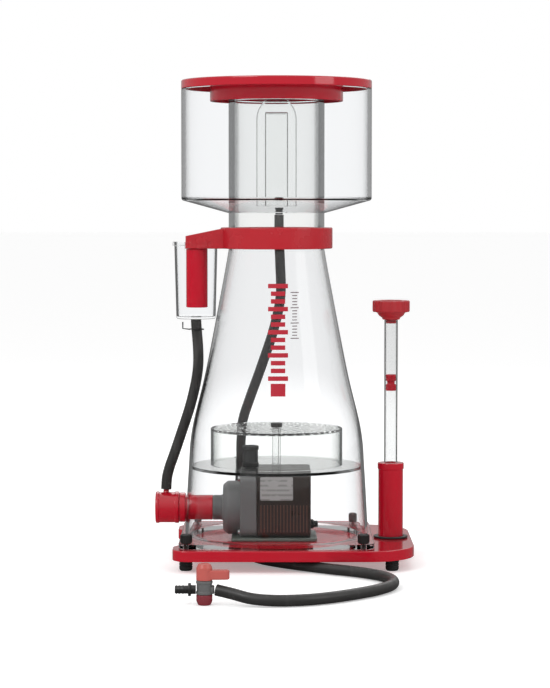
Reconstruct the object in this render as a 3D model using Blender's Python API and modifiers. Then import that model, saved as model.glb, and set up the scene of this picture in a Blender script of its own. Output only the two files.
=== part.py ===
"""Cone-bodied protein skimmer for an aquarium sump.

A clear bell stands on a red base plate and holds a needle-wheel pump. A clear neck
rises through a red collar into a collection cup with a red lid. A regulator stands
on a riser at the right, an air silencer hangs from the collar at the left, and a
drain hose runs from the cup to a small ball valve on the floor.

Units are metres, +Z is up. Every piece is placed in the tower's own frame, whose
axis is the bell's axis, and the frame's empty moves the tower so that the middle of
the object's footprint is the origin.
"""

import math

import bmesh
import bpy
from mathutils import Matrix, Vector

# ---- driving dimensions -------------------------------------------------------

TOWER_X = -0.00725          # bell axis, measured from the middle of the footprint
GAP = 0.0003                # clearance between touching pieces

ROUND_LARGE = 36            # sides of the bell, cup, neck and lid
ROUND_MEDIUM = 24
ROUND_SMALL = 12

# base plate
PLATE_BOTTOM = 0.012
PLATE_TOP = 0.023
PLATE_HALF_DEPTH = 0.102
PLATE_LEFT = -0.1060
PLATE_LEFT_WAIST = -0.0998
PLATE_RIGHT = 0.1415
PLATE_LEFT_CORNER = 0.017
PLATE_RIGHT_CORNER = 0.048
FOOT_RADIUS = 0.007
FOOT_LEFT_X, FOOT_RIGHT_X = -0.0926, 0.118
FOOT_Y = 0.0765
SCREW_LEFT_X, SCREW_RIGHT_X, SCREW_Y = -0.092, 0.0885, 0.084
SCREW_HEAD_RADIUS, SCREW_HEAD_HEIGHT = 0.0062, 0.0095
SCREW_SHANK_RADIUS = 0.0025

# bell body: outer radius and height at each station, foot to neck
BELL_STATIONS = (
    (0.0961, 0.0286), (0.0924, 0.094), (0.0885, 0.138), (0.0741, 0.199),
    (0.0578, 0.283), (0.0500, 0.3268), (0.0500, 0.336),
)
BELL_WALL = 0.003
FLANGE_BOTTOM = PLATE_TOP + GAP
FLANGE_TOP = BELL_STATIONS[0][1] - GAP
FLANGE_HALF_WIDTH = 0.100
FLANGE_HALF_DEPTH = 0.0925
GASKET_INNER, GASKET_OUTER = 0.0880, 0.0920
GASKET_DEPTH = 0.0015

# bubble plate and diffuser drum
BUBBLE_PLATE_BOTTOM = 0.0972
BUBBLE_PLATE_RADIUS = 0.0885
BUBBLE_PLATE_THICKNESS = 0.003
DRUM_RADIUS = 0.069
DRUM_WALL = 0.0025
DRUM_TOP = 0.139
DRUM_HOLES = 12
DRUM_HOLE_RADIUS = 0.003
STEM_RADIUS = 0.0045

# neck and collar
NECK_RADIUS = 0.050
NECK_WALL = 0.006
NECK_BOTTOM = 0.3386
NECK_TOP = 0.4815
COLLAR_BOTTOM = 0.327
COLLAR_TOP = 0.349
COLLAR_RADIUS = 0.0585
COLLAR_BORE = 0.0504
ARM_END = -0.095
ARM_END_TOP = 0.340
ARM_HALF_WIDTH = 0.012
ARM_ROOT_X = -0.0535
ARM_ROOT_HALF_WIDTH = 0.0185

# collection cup and lid
CUP_RADIUS = 0.0993
CUP_WALL = 0.004
CUP_FLOOR_EDGE = 0.3775
CUP_FLOOR_NECK = 0.364
CUP_FLOOR_THICKNESS = 0.005
LID_BOTTOM = 0.493
LID_TOP = 0.502
LID_PLATE = 0.0035
LID_SKIRT_RADIUS = 0.0693
LID_SKIRT_WALL = 0.0025
LID_SKIRT_BOTTOM = 0.480

# drain tower and spigot, behind the neck
TOWER_HALF_WIDTH = 0.024
TOWER_NEAR, TOWER_FAR = 0.0515, 0.0635
TOWER_FOOT = 0.3750
TOWER_TOP = 0.487
CHANNEL_HALF_WIDTH = 0.0135
CHANNEL_WALL = 0.002
CHANNEL_TOP = 0.471
SPIGOT_X, SPIGOT_Y = 0.003, 0.0585
SPIGOT_RADIUS = 0.005
SPIGOT_BOTTOM, SPIGOT_TOP = 0.3623, 0.3735

# air silencer
SILENCER_X = -0.0843
SILENCER_TOP = 0.334
SILENCER_BOTTOM = 0.2536
SILENCER_TOP_RADIUS = 0.0225
SILENCER_BOTTOM_RADIUS = 0.0205
SILENCER_WALL = 0.0022
SILENCER_RIM = 0.0018
STEM_TUBE_RADIUS = 0.0112
STEM_TUBE_BORE = 0.0075
STEM_TUBE_BOTTOM = 0.2655

# pump and intake, all on one horizontal axis
PUMP_Z = 0.055
VENTURI_LEFT, VENTURI_RIGHT = -0.127, -0.1022
VENTURI_RADIUS = 0.0166
INTAKE_RADIUS = 0.013
INTAKE_BORE = 0.0095
INTAKE_LEFT, INTAKE_RIGHT = -0.1019, -0.0670
BULKHEAD_RADIUS = 0.0155
BULKHEAD_LEFT, BULKHEAD_RIGHT = -0.1019, -0.0956
VOLUTE_LEFT, VOLUTE_RIGHT = -0.056, -0.0205
VOLUTE_FLANGE_LEFT = -0.0380
VOLUTE_FLANGE_HALF_DEPTH = 0.031
VOLUTE_FLANGE_TOP = 0.0935
VOLUTE_RADIUS = 0.028
VOLUTE_INLET_LEFT = -0.0667
CHAMBER_RADIUS = 0.025
CHAMBER_LEFT = -0.053
MOTOR_LEFT, MOTOR_RIGHT = -0.0202, 0.0355
MOTOR_BOTTOM, MOTOR_TOP = 0.0268, 0.0955
MOTOR_HALF_DEPTH = 0.032
ROTOR_POCKET_RADIUS = 0.0135
ROTOR_POCKET_END = 0.024
OUTLET_X = -0.0275
OUTLET_STUB_RADIUS = 0.0060
OUTLET_STUB_BORE = 0.0042
OUTLET_STUB_TOP = 0.112
OUTLET_SOCKET_RADIUS = 0.0088
OUTLET_SOCKET_BOTTOM, OUTLET_SOCKET_TOP = 0.0958, 0.120
WHEEL_RADIUS = 0.0225
WHEEL_LEFT, WHEEL_DISC_LEFT, WHEEL_RIGHT = -0.0443, -0.0283, -0.0253
WHEEL_PINS = 8
WHEEL_PIN_RADIUS, WHEEL_PIN_CIRCLE = 0.0014, 0.017
ROTOR_RADIUS = 0.0125
ROTOR_BORE = 0.0023
ROTOR_LEFT, ROTOR_RIGHT = -0.0188, 0.0180
SHAFT_RADIUS = 0.0020
SHAFT_LEFT, SHAFT_RIGHT = -0.0448, 0.0225
BARB_X = -0.116
BARB_TOP = 0.0740

# riser and level regulator
RISER_X = 0.120
RISER_RADIUS = 0.013
RISER_BORE = 0.010
RISER_TOP = 0.1024
RISER_CAP_RADIUS = 0.0138
REGULATOR_RADIUS = 0.0070
REGULATOR_BORE = 0.0058
REGULATOR_BOTTOM, REGULATOR_TOP = 0.085, 0.2524
KNOB_BOTTOM, KNOB_DISC_BOTTOM, KNOB_TOP = 0.2527, 0.2605, 0.2728
KNOB_STUB_LENGTH = 0.004
MARKER_LOW, MARKER_HIGH = 0.1781, 0.1951
MARKER_BAND = 0.0065
MARKER_RADIUS, MARKER_WAIST = 0.0055, 0.0040
KNOB_RADIUS = 0.0195
KNOB_FLUTES = 12
KNOB_FLUTE_DEPTH = 0.0009

# hoses
HOSE_RADIUS = 0.0055
HOSE_POINT_SPACING = 0.020
HOSE_REST = 0.0057          # centre height of hose that lies on the floor
AIR_HOSE_ROUTE = (
    (SILENCER_X, 0, SILENCER_BOTTOM - GAP), (-0.0838, 0, 0.244), (-0.0828, 0, 0.232),
    (-0.0820, 0, 0.218), (-0.0822, 0, 0.204), (-0.0840, 0, 0.190), (-0.0871, 0, 0.1755),
    (-0.0909, 0, 0.161), (-0.0952, 0, 0.1475), (-0.0996, 0, 0.1345), (-0.1038, 0, 0.122),
    (-0.1083, 0, 0.109), (-0.1122, 0, 0.098), (-0.1150, 0, 0.087), (BARB_X, 0, BARB_TOP + GAP),
)
DRAIN_HOSE_ROUTE = (
    (SPIGOT_X, SPIGOT_Y, SPIGOT_BOTTOM - GAP), (0.003, 0.0587, 0.347), (0.003, 0.0595, 0.332),
    (0.004, 0.0615, 0.312), (0.0045, 0.0660, 0.275), (-0.0030, 0.0725, 0.239),
    (-0.0165, 0.079, 0.199), (-0.0290, 0.086, 0.165), (-0.0375, 0.096, 0.139),
    (-0.0405, 0.1145, 0.1150), (-0.0415, 0.1362, 0.0925), (-0.0420, 0.1477, 0.0748),
    (-0.0425, 0.1515, 0.0557), (-0.0425, 0.1477, 0.0366), (-0.0425, 0.1369, 0.0203),
    (-0.0425, 0.1204, 0.0096), (-0.0420, 0.102, 0.0059), (-0.0412, 0.083, HOSE_REST),
    (-0.0400, 0.060, HOSE_REST), (-0.0350, 0.020, HOSE_REST), (-0.0270, -0.012, HOSE_REST),
    (-0.0155, -0.038, HOSE_REST), (0.0020, -0.060, HOSE_REST), (0.0250, -0.0815, HOSE_REST),
    (0.0520, -0.103, HOSE_REST), (0.0810, -0.124, HOSE_REST), (0.1030, -0.148, HOSE_REST),
    (0.1135, -0.176, HOSE_REST), (0.1110, -0.206, HOSE_REST), (0.0950, -0.235, HOSE_REST),
    (0.0720, -0.260, HOSE_REST), (0.0480, -0.280, HOSE_REST), (0.0240, -0.2925, HOSE_REST),
    (-0.0010, -0.297, 0.0059), (-0.0230, -0.295, 0.0073), (-0.0415, -0.2893, 0.0111),
    (-0.0563, -0.2853, 0.0140),
)

# ball valve on the end of the drain hose
VALVE_X, VALVE_Y, VALVE_Z = -0.0675, -0.285, 0.0143
VALVE_BODY_RADIUS = 0.0078
VALVE_BODY_BOTTOM, VALVE_BODY_TOP = 0.0100, 0.0230
VALVE_CAVITY_RADIUS = 0.0036
VALVE_BALL_RADIUS = 0.0033
VALVE_BORE = 0.0016
VALVE_STEM_RADIUS = 0.0012
VALVE_BARB_RADIUS = 0.0042
VALVE_BARB_END = -0.0582
VALVE_SPIGOT_END = -0.095
VALVE_STOP_LEFT, VALVE_STOP_RIGHT, VALVE_STOP_RADIUS = -0.0828, -0.0800, 0.0062
VALVE_HANDLE_TOP = 0.0388
VALVE_LEVER_END, VALVE_LEVER_TOP = -0.044, 0.0328
VALVE_CAP_RADIUS = 0.0077


# ---- scene, materials and placing ----------------------------------------------

def clear_scene():
    """Remove what the start-up file left in the scene."""
    for left_over in list(bpy.data.objects):
        bpy.data.objects.remove(left_over, do_unlink=True)


def new_collection(name):
    collection = bpy.data.collections.new(name)
    bpy.context.scene.collection.children.link(collection)
    return collection


clear_scene()
PARTS = new_collection("protein_skimmer")
CUTTERS = new_collection("cutters")
TOWER = bpy.data.objects.new("tower_frame", None)
TOWER.location = (TOWER_X, 0, 0)
PARTS.objects.link(TOWER)


def make_material(name, color, roughness, metallic=0.0, transmission=0.0):
    material = bpy.data.materials.new(name)
    material.use_nodes = True
    shader = material.node_tree.nodes["Principled BSDF"]
    shader.inputs["Base Color"].default_value = (*color, 1.0)
    shader.inputs["Roughness"].default_value = roughness
    shader.inputs["Metallic"].default_value = metallic
    shader.inputs["Transmission Weight"].default_value = transmission
    material.diffuse_color = (*color, 0.35 if transmission else 1.0)
    return material


RED = make_material("red_acrylic", (0.43, 0.0, 0.015), 0.18)
CLEAR = make_material("clear_acrylic", (0.95, 0.97, 0.97), 0.05, transmission=1.0)
BLACK_RUBBER = make_material("black_rubber", (0.02, 0.02, 0.02), 0.6)
BLACK_PLASTIC = make_material("black_plastic", (0.025, 0.024, 0.023), 0.4)
GREY_PLASTIC = make_material("grey_plastic", (0.16, 0.17, 0.18), 0.45)
MOTOR_RESIN = make_material("motor_resin", (0.032, 0.023, 0.021), 0.4)
LABEL_FILM = make_material("label_film", (0.38, 0.37, 0.38), 0.5)
BRACKET_PLASTIC = make_material("bracket_plastic", (0.11, 0.13, 0.11), 0.5)
HOSE_SILICONE = make_material("hose_silicone", (0.05, 0.048, 0.045), 0.5)
VALVE_RED = make_material("valve_red", (0.60, 0.09, 0.05), 0.4)
SHAFT_STEEL = make_material("shaft_steel", (0.55, 0.55, 0.56), 0.3, metallic=1.0)
MAGNET_FERRITE = make_material("magnet_ferrite", (0.05, 0.05, 0.055), 0.5)


def place(obj, material, location=(0, 0, 0), rotation=(0, 0, 0), collection=PARTS):
    """Put an object in the tower's frame with its material."""
    obj.location = location
    obj.rotation_euler = rotation
    obj.parent = TOWER
    if material is not None:
        obj.data.materials.append(material)
    collection.objects.link(obj)
    bpy.context.view_layer.update()
    return obj


def smooth_shade(mesh, angle_degrees=35):
    mesh.shade_smooth()
    mesh.set_sharp_from_angle(angle=math.radians(angle_degrees))


ALONG_X = (0, math.radians(90), 0)
UPRIGHT = (0, 0, 0)


# ---- shapes --------------------------------------------------------------------

def smooth_through(stations, per_span):
    """Points of a Catmull-Rom curve through the stations."""
    points = [Vector(station) for station in stations]
    ahead = [2 * points[0] - points[1], *points, 2 * points[-1] - points[-2]]
    curve = []
    for index in range(len(points) - 1):
        p0, p1, p2, p3 = ahead[index:index + 4]
        for step in range(per_span):
            t = step / per_span
            curve.append(0.5 * (2 * p1 + (p2 - p0) * t + (2 * p0 - 5 * p1 + 4 * p2 - p3) * t ** 2
                                + (3 * p1 - p0 - 3 * p2 + p3) * t ** 3))
    curve.append(points[-1])
    return curve


def evenly_spaced(points, spacing):
    """The same path with its points at equal distances."""
    lengths = [0.0]
    for before, after in zip(points, points[1:]):
        lengths.append(lengths[-1] + (after - before).length)
    count = max(2, round(lengths[-1] / spacing))
    result = []
    index = 0
    for step in range(count + 1):
        target = lengths[-1] * step / count
        while index < len(points) - 2 and lengths[index + 1] < target:
            index += 1
        share = (target - lengths[index]) / (lengths[index + 1] - lengths[index])
        result.append(points[index].lerp(points[index + 1], min(share, 1.0)))
    return result


def rounded_outline(corners, arc_points=6):
    """Outline through (x, y, corner radius) corners, with each corner an arc."""
    outline = []
    for index, (x, y, radius) in enumerate(corners):
        corner = Vector((x, y))
        before = Vector(corners[index - 1][:2]) - corner
        after = Vector(corners[(index + 1) % len(corners)][:2]) - corner
        before.normalize()
        after.normalize()
        half_angle = before.angle(after) / 2
        centre = corner + (before + after).normalized() * (radius / math.sin(half_angle))
        start = corner + before * (radius / math.tan(half_angle)) - centre
        end = corner + after * (radius / math.tan(half_angle)) - centre
        sweep = math.atan2(start.cross(end), start.dot(end))
        for step in range(arc_points + 1):
            turn = Matrix.Rotation(sweep * step / arc_points, 2)
            outline.append(centre + turn @ start)
    return outline


def turned(name, profile, material, sides=ROUND_LARGE, location=(0, 0, 0), rotation=UPRIGHT,
           closed=False, collection=PARTS):
    """A profile of (radius, height) points turned about the local Z axis.

    The profile runs down the outer side. A closed one comes back up its inner side.
    """
    mesh = bpy.data.meshes.new(name)
    count = len(profile)
    edges = [(index, index + 1) for index in range(count - 1)]
    if closed:
        edges.append((count - 1, 0))
    mesh.from_pydata([(radius, 0, height) for radius, height in profile], edges, [])
    obj = place(bpy.data.objects.new(name, mesh), material, location, rotation, collection)
    screw = obj.modifiers.new("turn", "SCREW")
    screw.steps = sides
    screw.render_steps = sides
    screw.use_merge_vertices = True
    screw.merge_threshold = 0.00001
    screw.use_smooth_shade = True
    return obj


def ring(name, inner, outer, bottom, top, material, sides=ROUND_LARGE, location=(0, 0, 0),
         rotation=UPRIGHT, collection=PARTS):
    """A plain ring or tube."""
    profile = [(outer, top), (outer, bottom), (inner, bottom), (inner, top)]
    return turned(name, profile, material, sides, location, rotation, True, collection)


def rod(name, radius, bottom, top, material, sides=ROUND_MEDIUM, location=(0, 0, 0),
        rotation=UPRIGHT, collection=PARTS):
    """A solid cylinder from bottom to top along its local Z axis."""
    mesh = bpy.data.meshes.new(name)
    shape = bmesh.new()
    bmesh.ops.create_cone(shape, cap_ends=True, segments=sides, radius1=radius, radius2=radius,
                          depth=top - bottom, matrix=Matrix.Translation((0, 0, (top + bottom) / 2)))
    shape.to_mesh(mesh)
    shape.free()
    smooth_shade(mesh)
    return place(bpy.data.objects.new(name, mesh), material, location, rotation, collection)


def box(name, low, high, material, bevel=0.0, collection=PARTS):
    """A block between two corners, with its edges bevelled."""
    low, high = Vector(low), Vector(high)
    mesh = bpy.data.meshes.new(name)
    shape = bmesh.new()
    size = Matrix.Diagonal((*(high - low), 1.0))
    bmesh.ops.create_cube(shape, size=1.0, matrix=size)
    shape.to_mesh(mesh)
    shape.free()
    obj = place(bpy.data.objects.new(name, mesh), material, (low + high) / 2, UPRIGHT, collection)
    if bevel:
        edge = obj.modifiers.new("edge", "BEVEL")
        edge.width = bevel
        edge.segments = 2
    return obj


def outline_curve(name, outline, bottom, top):
    """A flat outline, filled and given its thickness."""
    curve = bpy.data.curves.new(name, "CURVE")
    curve.dimensions = "2D"
    curve.fill_mode = "BOTH"
    curve.extrude = (top - bottom) / 2
    spline = curve.splines.new("POLY")
    spline.points.add(len(outline) - 1)
    for point, (x, y) in zip(spline.points, outline):
        point.co = (x, y, 0, 1)
    spline.use_cyclic_u = True
    return bpy.data.objects.new(name, curve)


def plate(name, outline, bottom, top, material, rotation=UPRIGHT, location=(0, 0, 0),
          collection=PARTS):
    """A flat plate as a mesh, so that it can be cut and joined."""
    flat = outline_curve(name + "_outline", outline, bottom, top)
    PARTS.objects.link(flat)
    bpy.context.view_layer.update()
    evaluated = flat.evaluated_get(bpy.context.evaluated_depsgraph_get())
    mesh = bpy.data.meshes.new_from_object(evaluated)
    mesh.name = name
    bpy.data.objects.remove(flat, do_unlink=True)
    shape = bmesh.new()
    shape.from_mesh(mesh)
    bmesh.ops.remove_doubles(shape, verts=shape.verts, dist=0.00001)
    bmesh.ops.translate(shape, verts=shape.verts, vec=(0, 0, (top + bottom) / 2))
    bmesh.ops.recalc_face_normals(shape, faces=shape.faces)
    shape.to_mesh(mesh)
    shape.free()
    return place(bpy.data.objects.new(name, mesh), material, location, rotation, collection)


def tube_along(name, points, radius, material, resolution=2):
    """A round tube or wire along a path."""
    curve = bpy.data.curves.new(name, "CURVE")
    curve.dimensions = "3D"
    curve.bevel_depth = radius
    curve.bevel_resolution = resolution
    curve.use_fill_caps = True
    spline = curve.splines.new("POLY")
    spline.points.add(len(points) - 1)
    for point, co in zip(spline.points, points):
        point.co = (*co, 1)
    return place(bpy.data.objects.new(name, curve), material)


def combine(obj, tool, operation):
    """Join, cut or trim an object with a tool that is not part of the object."""
    tool.hide_render = True
    tool.display_type = "WIRE"
    boolean = obj.modifiers.new(tool.name, "BOOLEAN")
    boolean.operation = operation
    boolean.solver = "EXACT"
    boolean.object = tool
    return obj


def cut_round(obj, radius, bottom, top, location=(0, 0, 0), rotation=UPRIGHT, sides=ROUND_MEDIUM):
    """Bore a round hole through an object."""
    tool = rod(f"{obj.name}_bore_{len(obj.modifiers)}", radius, bottom, top, None, sides,
               location, rotation, CUTTERS)
    return combine(obj, tool, "DIFFERENCE")


def cut_box(obj, low, high):
    tool = box(f"{obj.name}_slot_{len(obj.modifiers)}", low, high, None, collection=CUTTERS)
    return combine(obj, tool, "DIFFERENCE")


# ---- base ----------------------------------------------------------------------

def build_base_plate():
    depth, left, waist = PLATE_HALF_DEPTH, PLATE_LEFT, PLATE_LEFT_WAIST
    front_half = [(left, -0.066, 0.008), (left, -depth, PLATE_LEFT_CORNER),
                  (PLATE_RIGHT, -depth, PLATE_RIGHT_CORNER)]
    back_half = [(x, -y, radius) for x, y, radius in reversed(front_half)]
    waist_corners = [(waist, 0.054, 0.008), (waist, -0.054, 0.008)]
    base = plate("base_plate", rounded_outline(front_half + back_half + waist_corners),
                 PLATE_BOTTOM, PLATE_TOP, RED)
    groove = ring("gasket_groove", GASKET_INNER - GAP, GASKET_OUTER + GAP,
                  PLATE_TOP - GASKET_DEPTH, PLATE_TOP + 0.002, None, collection=CUTTERS)
    combine(base, groove, "DIFFERENCE")
    cut_box(base, (0.070, -0.011, PLATE_BOTTOM - 0.002), (0.132, 0.011, PLATE_BOTTOM + 0.0055))
    cut_round(base, 0.009, PLATE_BOTTOM, PLATE_TOP + 0.002, (RISER_X, 0, 0), sides=ROUND_SMALL)
    cut_round(base, 0.007, PLATE_BOTTOM, PLATE_TOP + 0.002, (0.077, 0, 0), sides=ROUND_SMALL)
    for x in (SCREW_LEFT_X, SCREW_RIGHT_X):
        for y in (-SCREW_Y, SCREW_Y):
            cut_round(base, SCREW_SHANK_RADIUS + GAP, PLATE_TOP - 0.0065, PLATE_TOP + 0.002,
                      (x, y, 0), sides=8)


def build_channel_cover():
    box("channel_cover", (0.0703, -0.0107, PLATE_BOTTOM), (0.1317, 0.0107, PLATE_BOTTOM + 0.0018), RED)


def build_feet():
    profile = [(0, PLATE_BOTTOM - GAP), (FOOT_RADIUS - 0.001, PLATE_BOTTOM - GAP),
               (FOOT_RADIUS, PLATE_BOTTOM - 0.002), (FOOT_RADIUS - 0.0006, 0.0008),
               (FOOT_RADIUS - 0.0014, 0), (0, 0)]
    for side, x in (("left", FOOT_LEFT_X), ("right", FOOT_RIGHT_X)):
        for end, y in (("front", -FOOT_Y), ("back", FOOT_Y)):
            turned(f"foot_{side}_{end}", profile, BLACK_RUBBER, ROUND_SMALL, (x, y, 0))


def build_thumb_screws():
    """Knurled screws that clamp the bell's flange to the base plate."""
    bottom = FLANGE_TOP + GAP
    top = bottom + SCREW_HEAD_HEIGHT
    head = SCREW_HEAD_RADIUS
    profile = [(0, top), (head - 0.001, top), (head, top - 0.001), (head, bottom + 0.0006),
               (head - 0.0008, bottom), (SCREW_SHANK_RADIUS, bottom),
               (SCREW_SHANK_RADIUS, PLATE_TOP - 0.006), (0, PLATE_TOP - 0.006)]
    for side, x in (("left", SCREW_LEFT_X), ("right", SCREW_RIGHT_X)):
        for end, y in (("front", -SCREW_Y), ("back", SCREW_Y)):
            turned(f"thumb_screw_{side}_{end}", profile, BLACK_PLASTIC, ROUND_SMALL, (x, y, 0))


# ---- bell body -----------------------------------------------------------------

def build_body_flange():
    width, depth, corner = FLANGE_HALF_WIDTH, FLANGE_HALF_DEPTH, 0.014
    corners = [(-width, -depth, corner), (width, -depth, corner),
               (width, depth, corner), (-width, depth, corner)]
    flange = plate("body_flange", rounded_outline(corners, 4), FLANGE_BOTTOM, FLANGE_TOP, CLEAR)
    cut_round(flange, 0.0865, FLANGE_BOTTOM - 0.002, FLANGE_TOP + 0.002, sides=ROUND_LARGE)
    for x in (SCREW_LEFT_X, SCREW_RIGHT_X):
        for y in (-SCREW_Y, SCREW_Y):
            cut_round(flange, SCREW_SHANK_RADIUS + GAP, FLANGE_BOTTOM - 0.002, FLANGE_TOP + 0.002,
                      (x, y, 0), sides=8)


def build_body_shell():
    outer = smooth_through(BELL_STATIONS, 2)
    inner = [(radius - BELL_WALL, height) for radius, height in outer]
    outer_down = [(radius, height) for radius, height in reversed(outer)]
    shell = turned("body_shell", outer_down + inner, CLEAR, closed=True)
    cut_round(shell, INTAKE_RADIUS + GAP, -0.110, -0.080, (0, 0, PUMP_Z), ALONG_X)


def build_body_gasket():
    ring("body_gasket", GASKET_INNER, GASKET_OUTER, PLATE_TOP - GASKET_DEPTH + GAP, PLATE_TOP,
         BLACK_RUBBER)


def build_bubble_plate():
    bottom, top = BUBBLE_PLATE_BOTTOM, BUBBLE_PLATE_BOTTOM + BUBBLE_PLATE_THICKNESS
    disc = rod("bubble_plate", BUBBLE_PLATE_RADIUS, bottom, top, CLEAR, ROUND_LARGE)
    cut_round(disc, OUTLET_SOCKET_RADIUS + GAP, bottom - 0.002, top + 0.002, (OUTLET_X, 0, 0))


def build_diffuser_drum():
    bottom = BUBBLE_PLATE_BOTTOM + BUBBLE_PLATE_THICKNESS + GAP
    inner = DRUM_RADIUS - DRUM_WALL
    profile = [(0, DRUM_TOP), (DRUM_RADIUS, DRUM_TOP), (DRUM_RADIUS, bottom), (inner, bottom),
               (inner, DRUM_TOP - DRUM_WALL), (0, DRUM_TOP - DRUM_WALL)]
    drum = turned("diffuser_drum", profile, CLEAR)
    for index in range(DRUM_HOLES):
        angle = math.tau * (index + 0.5) / DRUM_HOLES
        spot = (0.048 * math.cos(angle), 0.048 * math.sin(angle), 0)
        cut_round(drum, DRUM_HOLE_RADIUS, DRUM_TOP - 0.006, DRUM_TOP + 0.002, spot, sides=6)
    rod("drum_stem", STEM_RADIUS, bottom, DRUM_TOP - DRUM_WALL - GAP, CLEAR, 16)
    rod("drum_cap", 0.006, DRUM_TOP + GAP, DRUM_TOP + 0.005, BLACK_PLASTIC, 16)


# ---- neck, collar and cup ------------------------------------------------------

def build_neck():
    ring("neck_seal", NECK_RADIUS - 0.0027, NECK_RADIUS, BELL_STATIONS[-1][1] + GAP,
         NECK_BOTTOM - GAP, BLACK_RUBBER)
    ring("neck_tube", NECK_RADIUS - NECK_WALL, NECK_RADIUS, NECK_BOTTOM, NECK_TOP, CLEAR)


def build_collar():
    """Red clamp ring whose arm carries the air silencer."""
    chamfer = 0.0012
    profile = [(COLLAR_RADIUS - chamfer, COLLAR_TOP), (COLLAR_RADIUS, COLLAR_TOP - chamfer),
               (COLLAR_RADIUS, COLLAR_BOTTOM + chamfer), (COLLAR_RADIUS - chamfer, COLLAR_BOTTOM),
               (COLLAR_BORE, COLLAR_BOTTOM), (COLLAR_BORE, COLLAR_TOP)]
    collar = turned("neck_collar", profile, RED, closed=True)
    arm_top = COLLAR_TOP - 0.0015
    arm_corners = [(ARM_END, -ARM_HALF_WIDTH, 0.008), (ARM_ROOT_X, -ARM_ROOT_HALF_WIDTH, 0.001),
                   (ARM_ROOT_X, ARM_ROOT_HALF_WIDTH, 0.001), (ARM_END, ARM_HALF_WIDTH, 0.008)]
    arm = plate("collar_arm", rounded_outline(arm_corners, 4), COLLAR_BOTTOM, arm_top,
                None, collection=CUTTERS)
    slope_run = ARM_END + COLLAR_RADIUS
    wedge = [(ARM_END + slope_run, 2 * ARM_END_TOP - arm_top), (-COLLAR_RADIUS, arm_top),
             (-COLLAR_RADIUS, arm_top + 0.01), (ARM_END + slope_run, arm_top + 0.01)]
    slope = plate("arm_slope", wedge, -0.03, 0.03, None, rotation=(math.radians(90), 0, 0),
                  collection=CUTTERS)
    combine(arm, slope, "DIFFERENCE")
    combine(collar, arm, "UNION")
    cut_round(collar, HOSE_RADIUS + 0.0015, COLLAR_BOTTOM - 0.002, COLLAR_TOP + 0.002,
              (SPIGOT_X, SPIGOT_Y + 0.001, 0), sides=16)


def build_cup():
    inner = CUP_RADIUS - CUP_WALL
    bore = NECK_RADIUS + GAP
    profile = [(CUP_RADIUS, LID_BOTTOM - GAP), (CUP_RADIUS, CUP_FLOOR_EDGE), (bore, CUP_FLOOR_NECK),
               (bore, CUP_FLOOR_NECK + CUP_FLOOR_THICKNESS),
               (inner, CUP_FLOOR_EDGE + CUP_FLOOR_THICKNESS), (inner, LID_BOTTOM - GAP)]
    cup = turned("collection_cup", profile, CLEAR, closed=True)
    cut_round(cup, SPIGOT_RADIUS + GAP, 0.355, 0.385, (SPIGOT_X, SPIGOT_Y, 0), sides=16)


def build_lid():
    rim = CUP_RADIUS
    under = LID_TOP - LID_PLATE
    skirt_inner = LID_SKIRT_RADIUS - LID_SKIRT_WALL
    profile = [(0, LID_TOP), (rim - 0.0015, LID_TOP), (rim, LID_TOP - 0.0015), (rim, LID_BOTTOM),
               (rim - 0.003, LID_BOTTOM), (rim - 0.003, under), (LID_SKIRT_RADIUS, under),
               (LID_SKIRT_RADIUS, LID_SKIRT_BOTTOM), (skirt_inner, LID_SKIRT_BOTTOM),
               (skirt_inner, under), (0, under)]
    turned("cup_lid", profile, RED)


def build_drain_tower():
    """Flat arched channel that leads the cup's overflow to the spigot."""
    width = TOWER_HALF_WIDTH
    arch_centre = TOWER_TOP - width
    outline = [(-width, TOWER_FOOT), (width, TOWER_FOOT)]
    for step in range(13):
        angle = math.pi * step / 12
        outline.append((width * math.cos(angle), arch_centre + width * math.sin(angle)))
    tower = plate("drain_tower", outline, 0, TOWER_FAR - TOWER_NEAR, CLEAR,
                  rotation=(math.radians(90), 0, 0), location=(0, TOWER_FAR, 0))
    cut_box(tower, (-CHANNEL_HALF_WIDTH, TOWER_NEAR + CHANNEL_WALL, TOWER_FOOT - 0.005),
            (CHANNEL_HALF_WIDTH, TOWER_FAR - CHANNEL_WALL, CHANNEL_TOP))
    cut_box(tower, (-0.008, TOWER_FAR - 0.004, TOWER_FOOT - 0.005), (0.008, TOWER_FAR + 0.004, 0.390))


def build_drain_spigot():
    ring("drain_spigot", 0.003, SPIGOT_RADIUS, SPIGOT_BOTTOM, SPIGOT_TOP, BLACK_PLASTIC, 16,
         (SPIGOT_X, SPIGOT_Y, 0))


# ---- air silencer --------------------------------------------------------------

def build_silencer():
    top, bottom = SILENCER_TOP, SILENCER_BOTTOM
    rim_bottom, rim = top - 0.004, SILENCER_TOP_RADIUS + SILENCER_RIM
    wall = SILENCER_WALL
    profile = [(0, bottom + wall), (SILENCER_BOTTOM_RADIUS - wall, bottom + wall),
               (SILENCER_TOP_RADIUS - wall, top), (rim, top), (rim, rim_bottom),
               (SILENCER_TOP_RADIUS, rim_bottom), (SILENCER_BOTTOM_RADIUS, bottom), (0, bottom)]
    cup = turned("silencer_cup", profile, CLEAR, ROUND_MEDIUM, (SILENCER_X, 0, 0))
    cut_box(cup, (ARM_END - GAP, -ARM_ROOT_HALF_WIDTH, COLLAR_BOTTOM - GAP),
            (-0.055, ARM_ROOT_HALF_WIDTH, top + 0.004))
    ring("silencer_stem", STEM_TUBE_BORE, STEM_TUBE_RADIUS, STEM_TUBE_BOTTOM, COLLAR_BOTTOM - GAP,
         RED, ROUND_MEDIUM, (SILENCER_X + 0.001, 0, 0))


def build_air_hose():
    path = evenly_spaced(smooth_through(AIR_HOSE_ROUTE, 8), 0.012)
    tube_along("air_hose", path, HOSE_RADIUS, HOSE_SILICONE)


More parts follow.
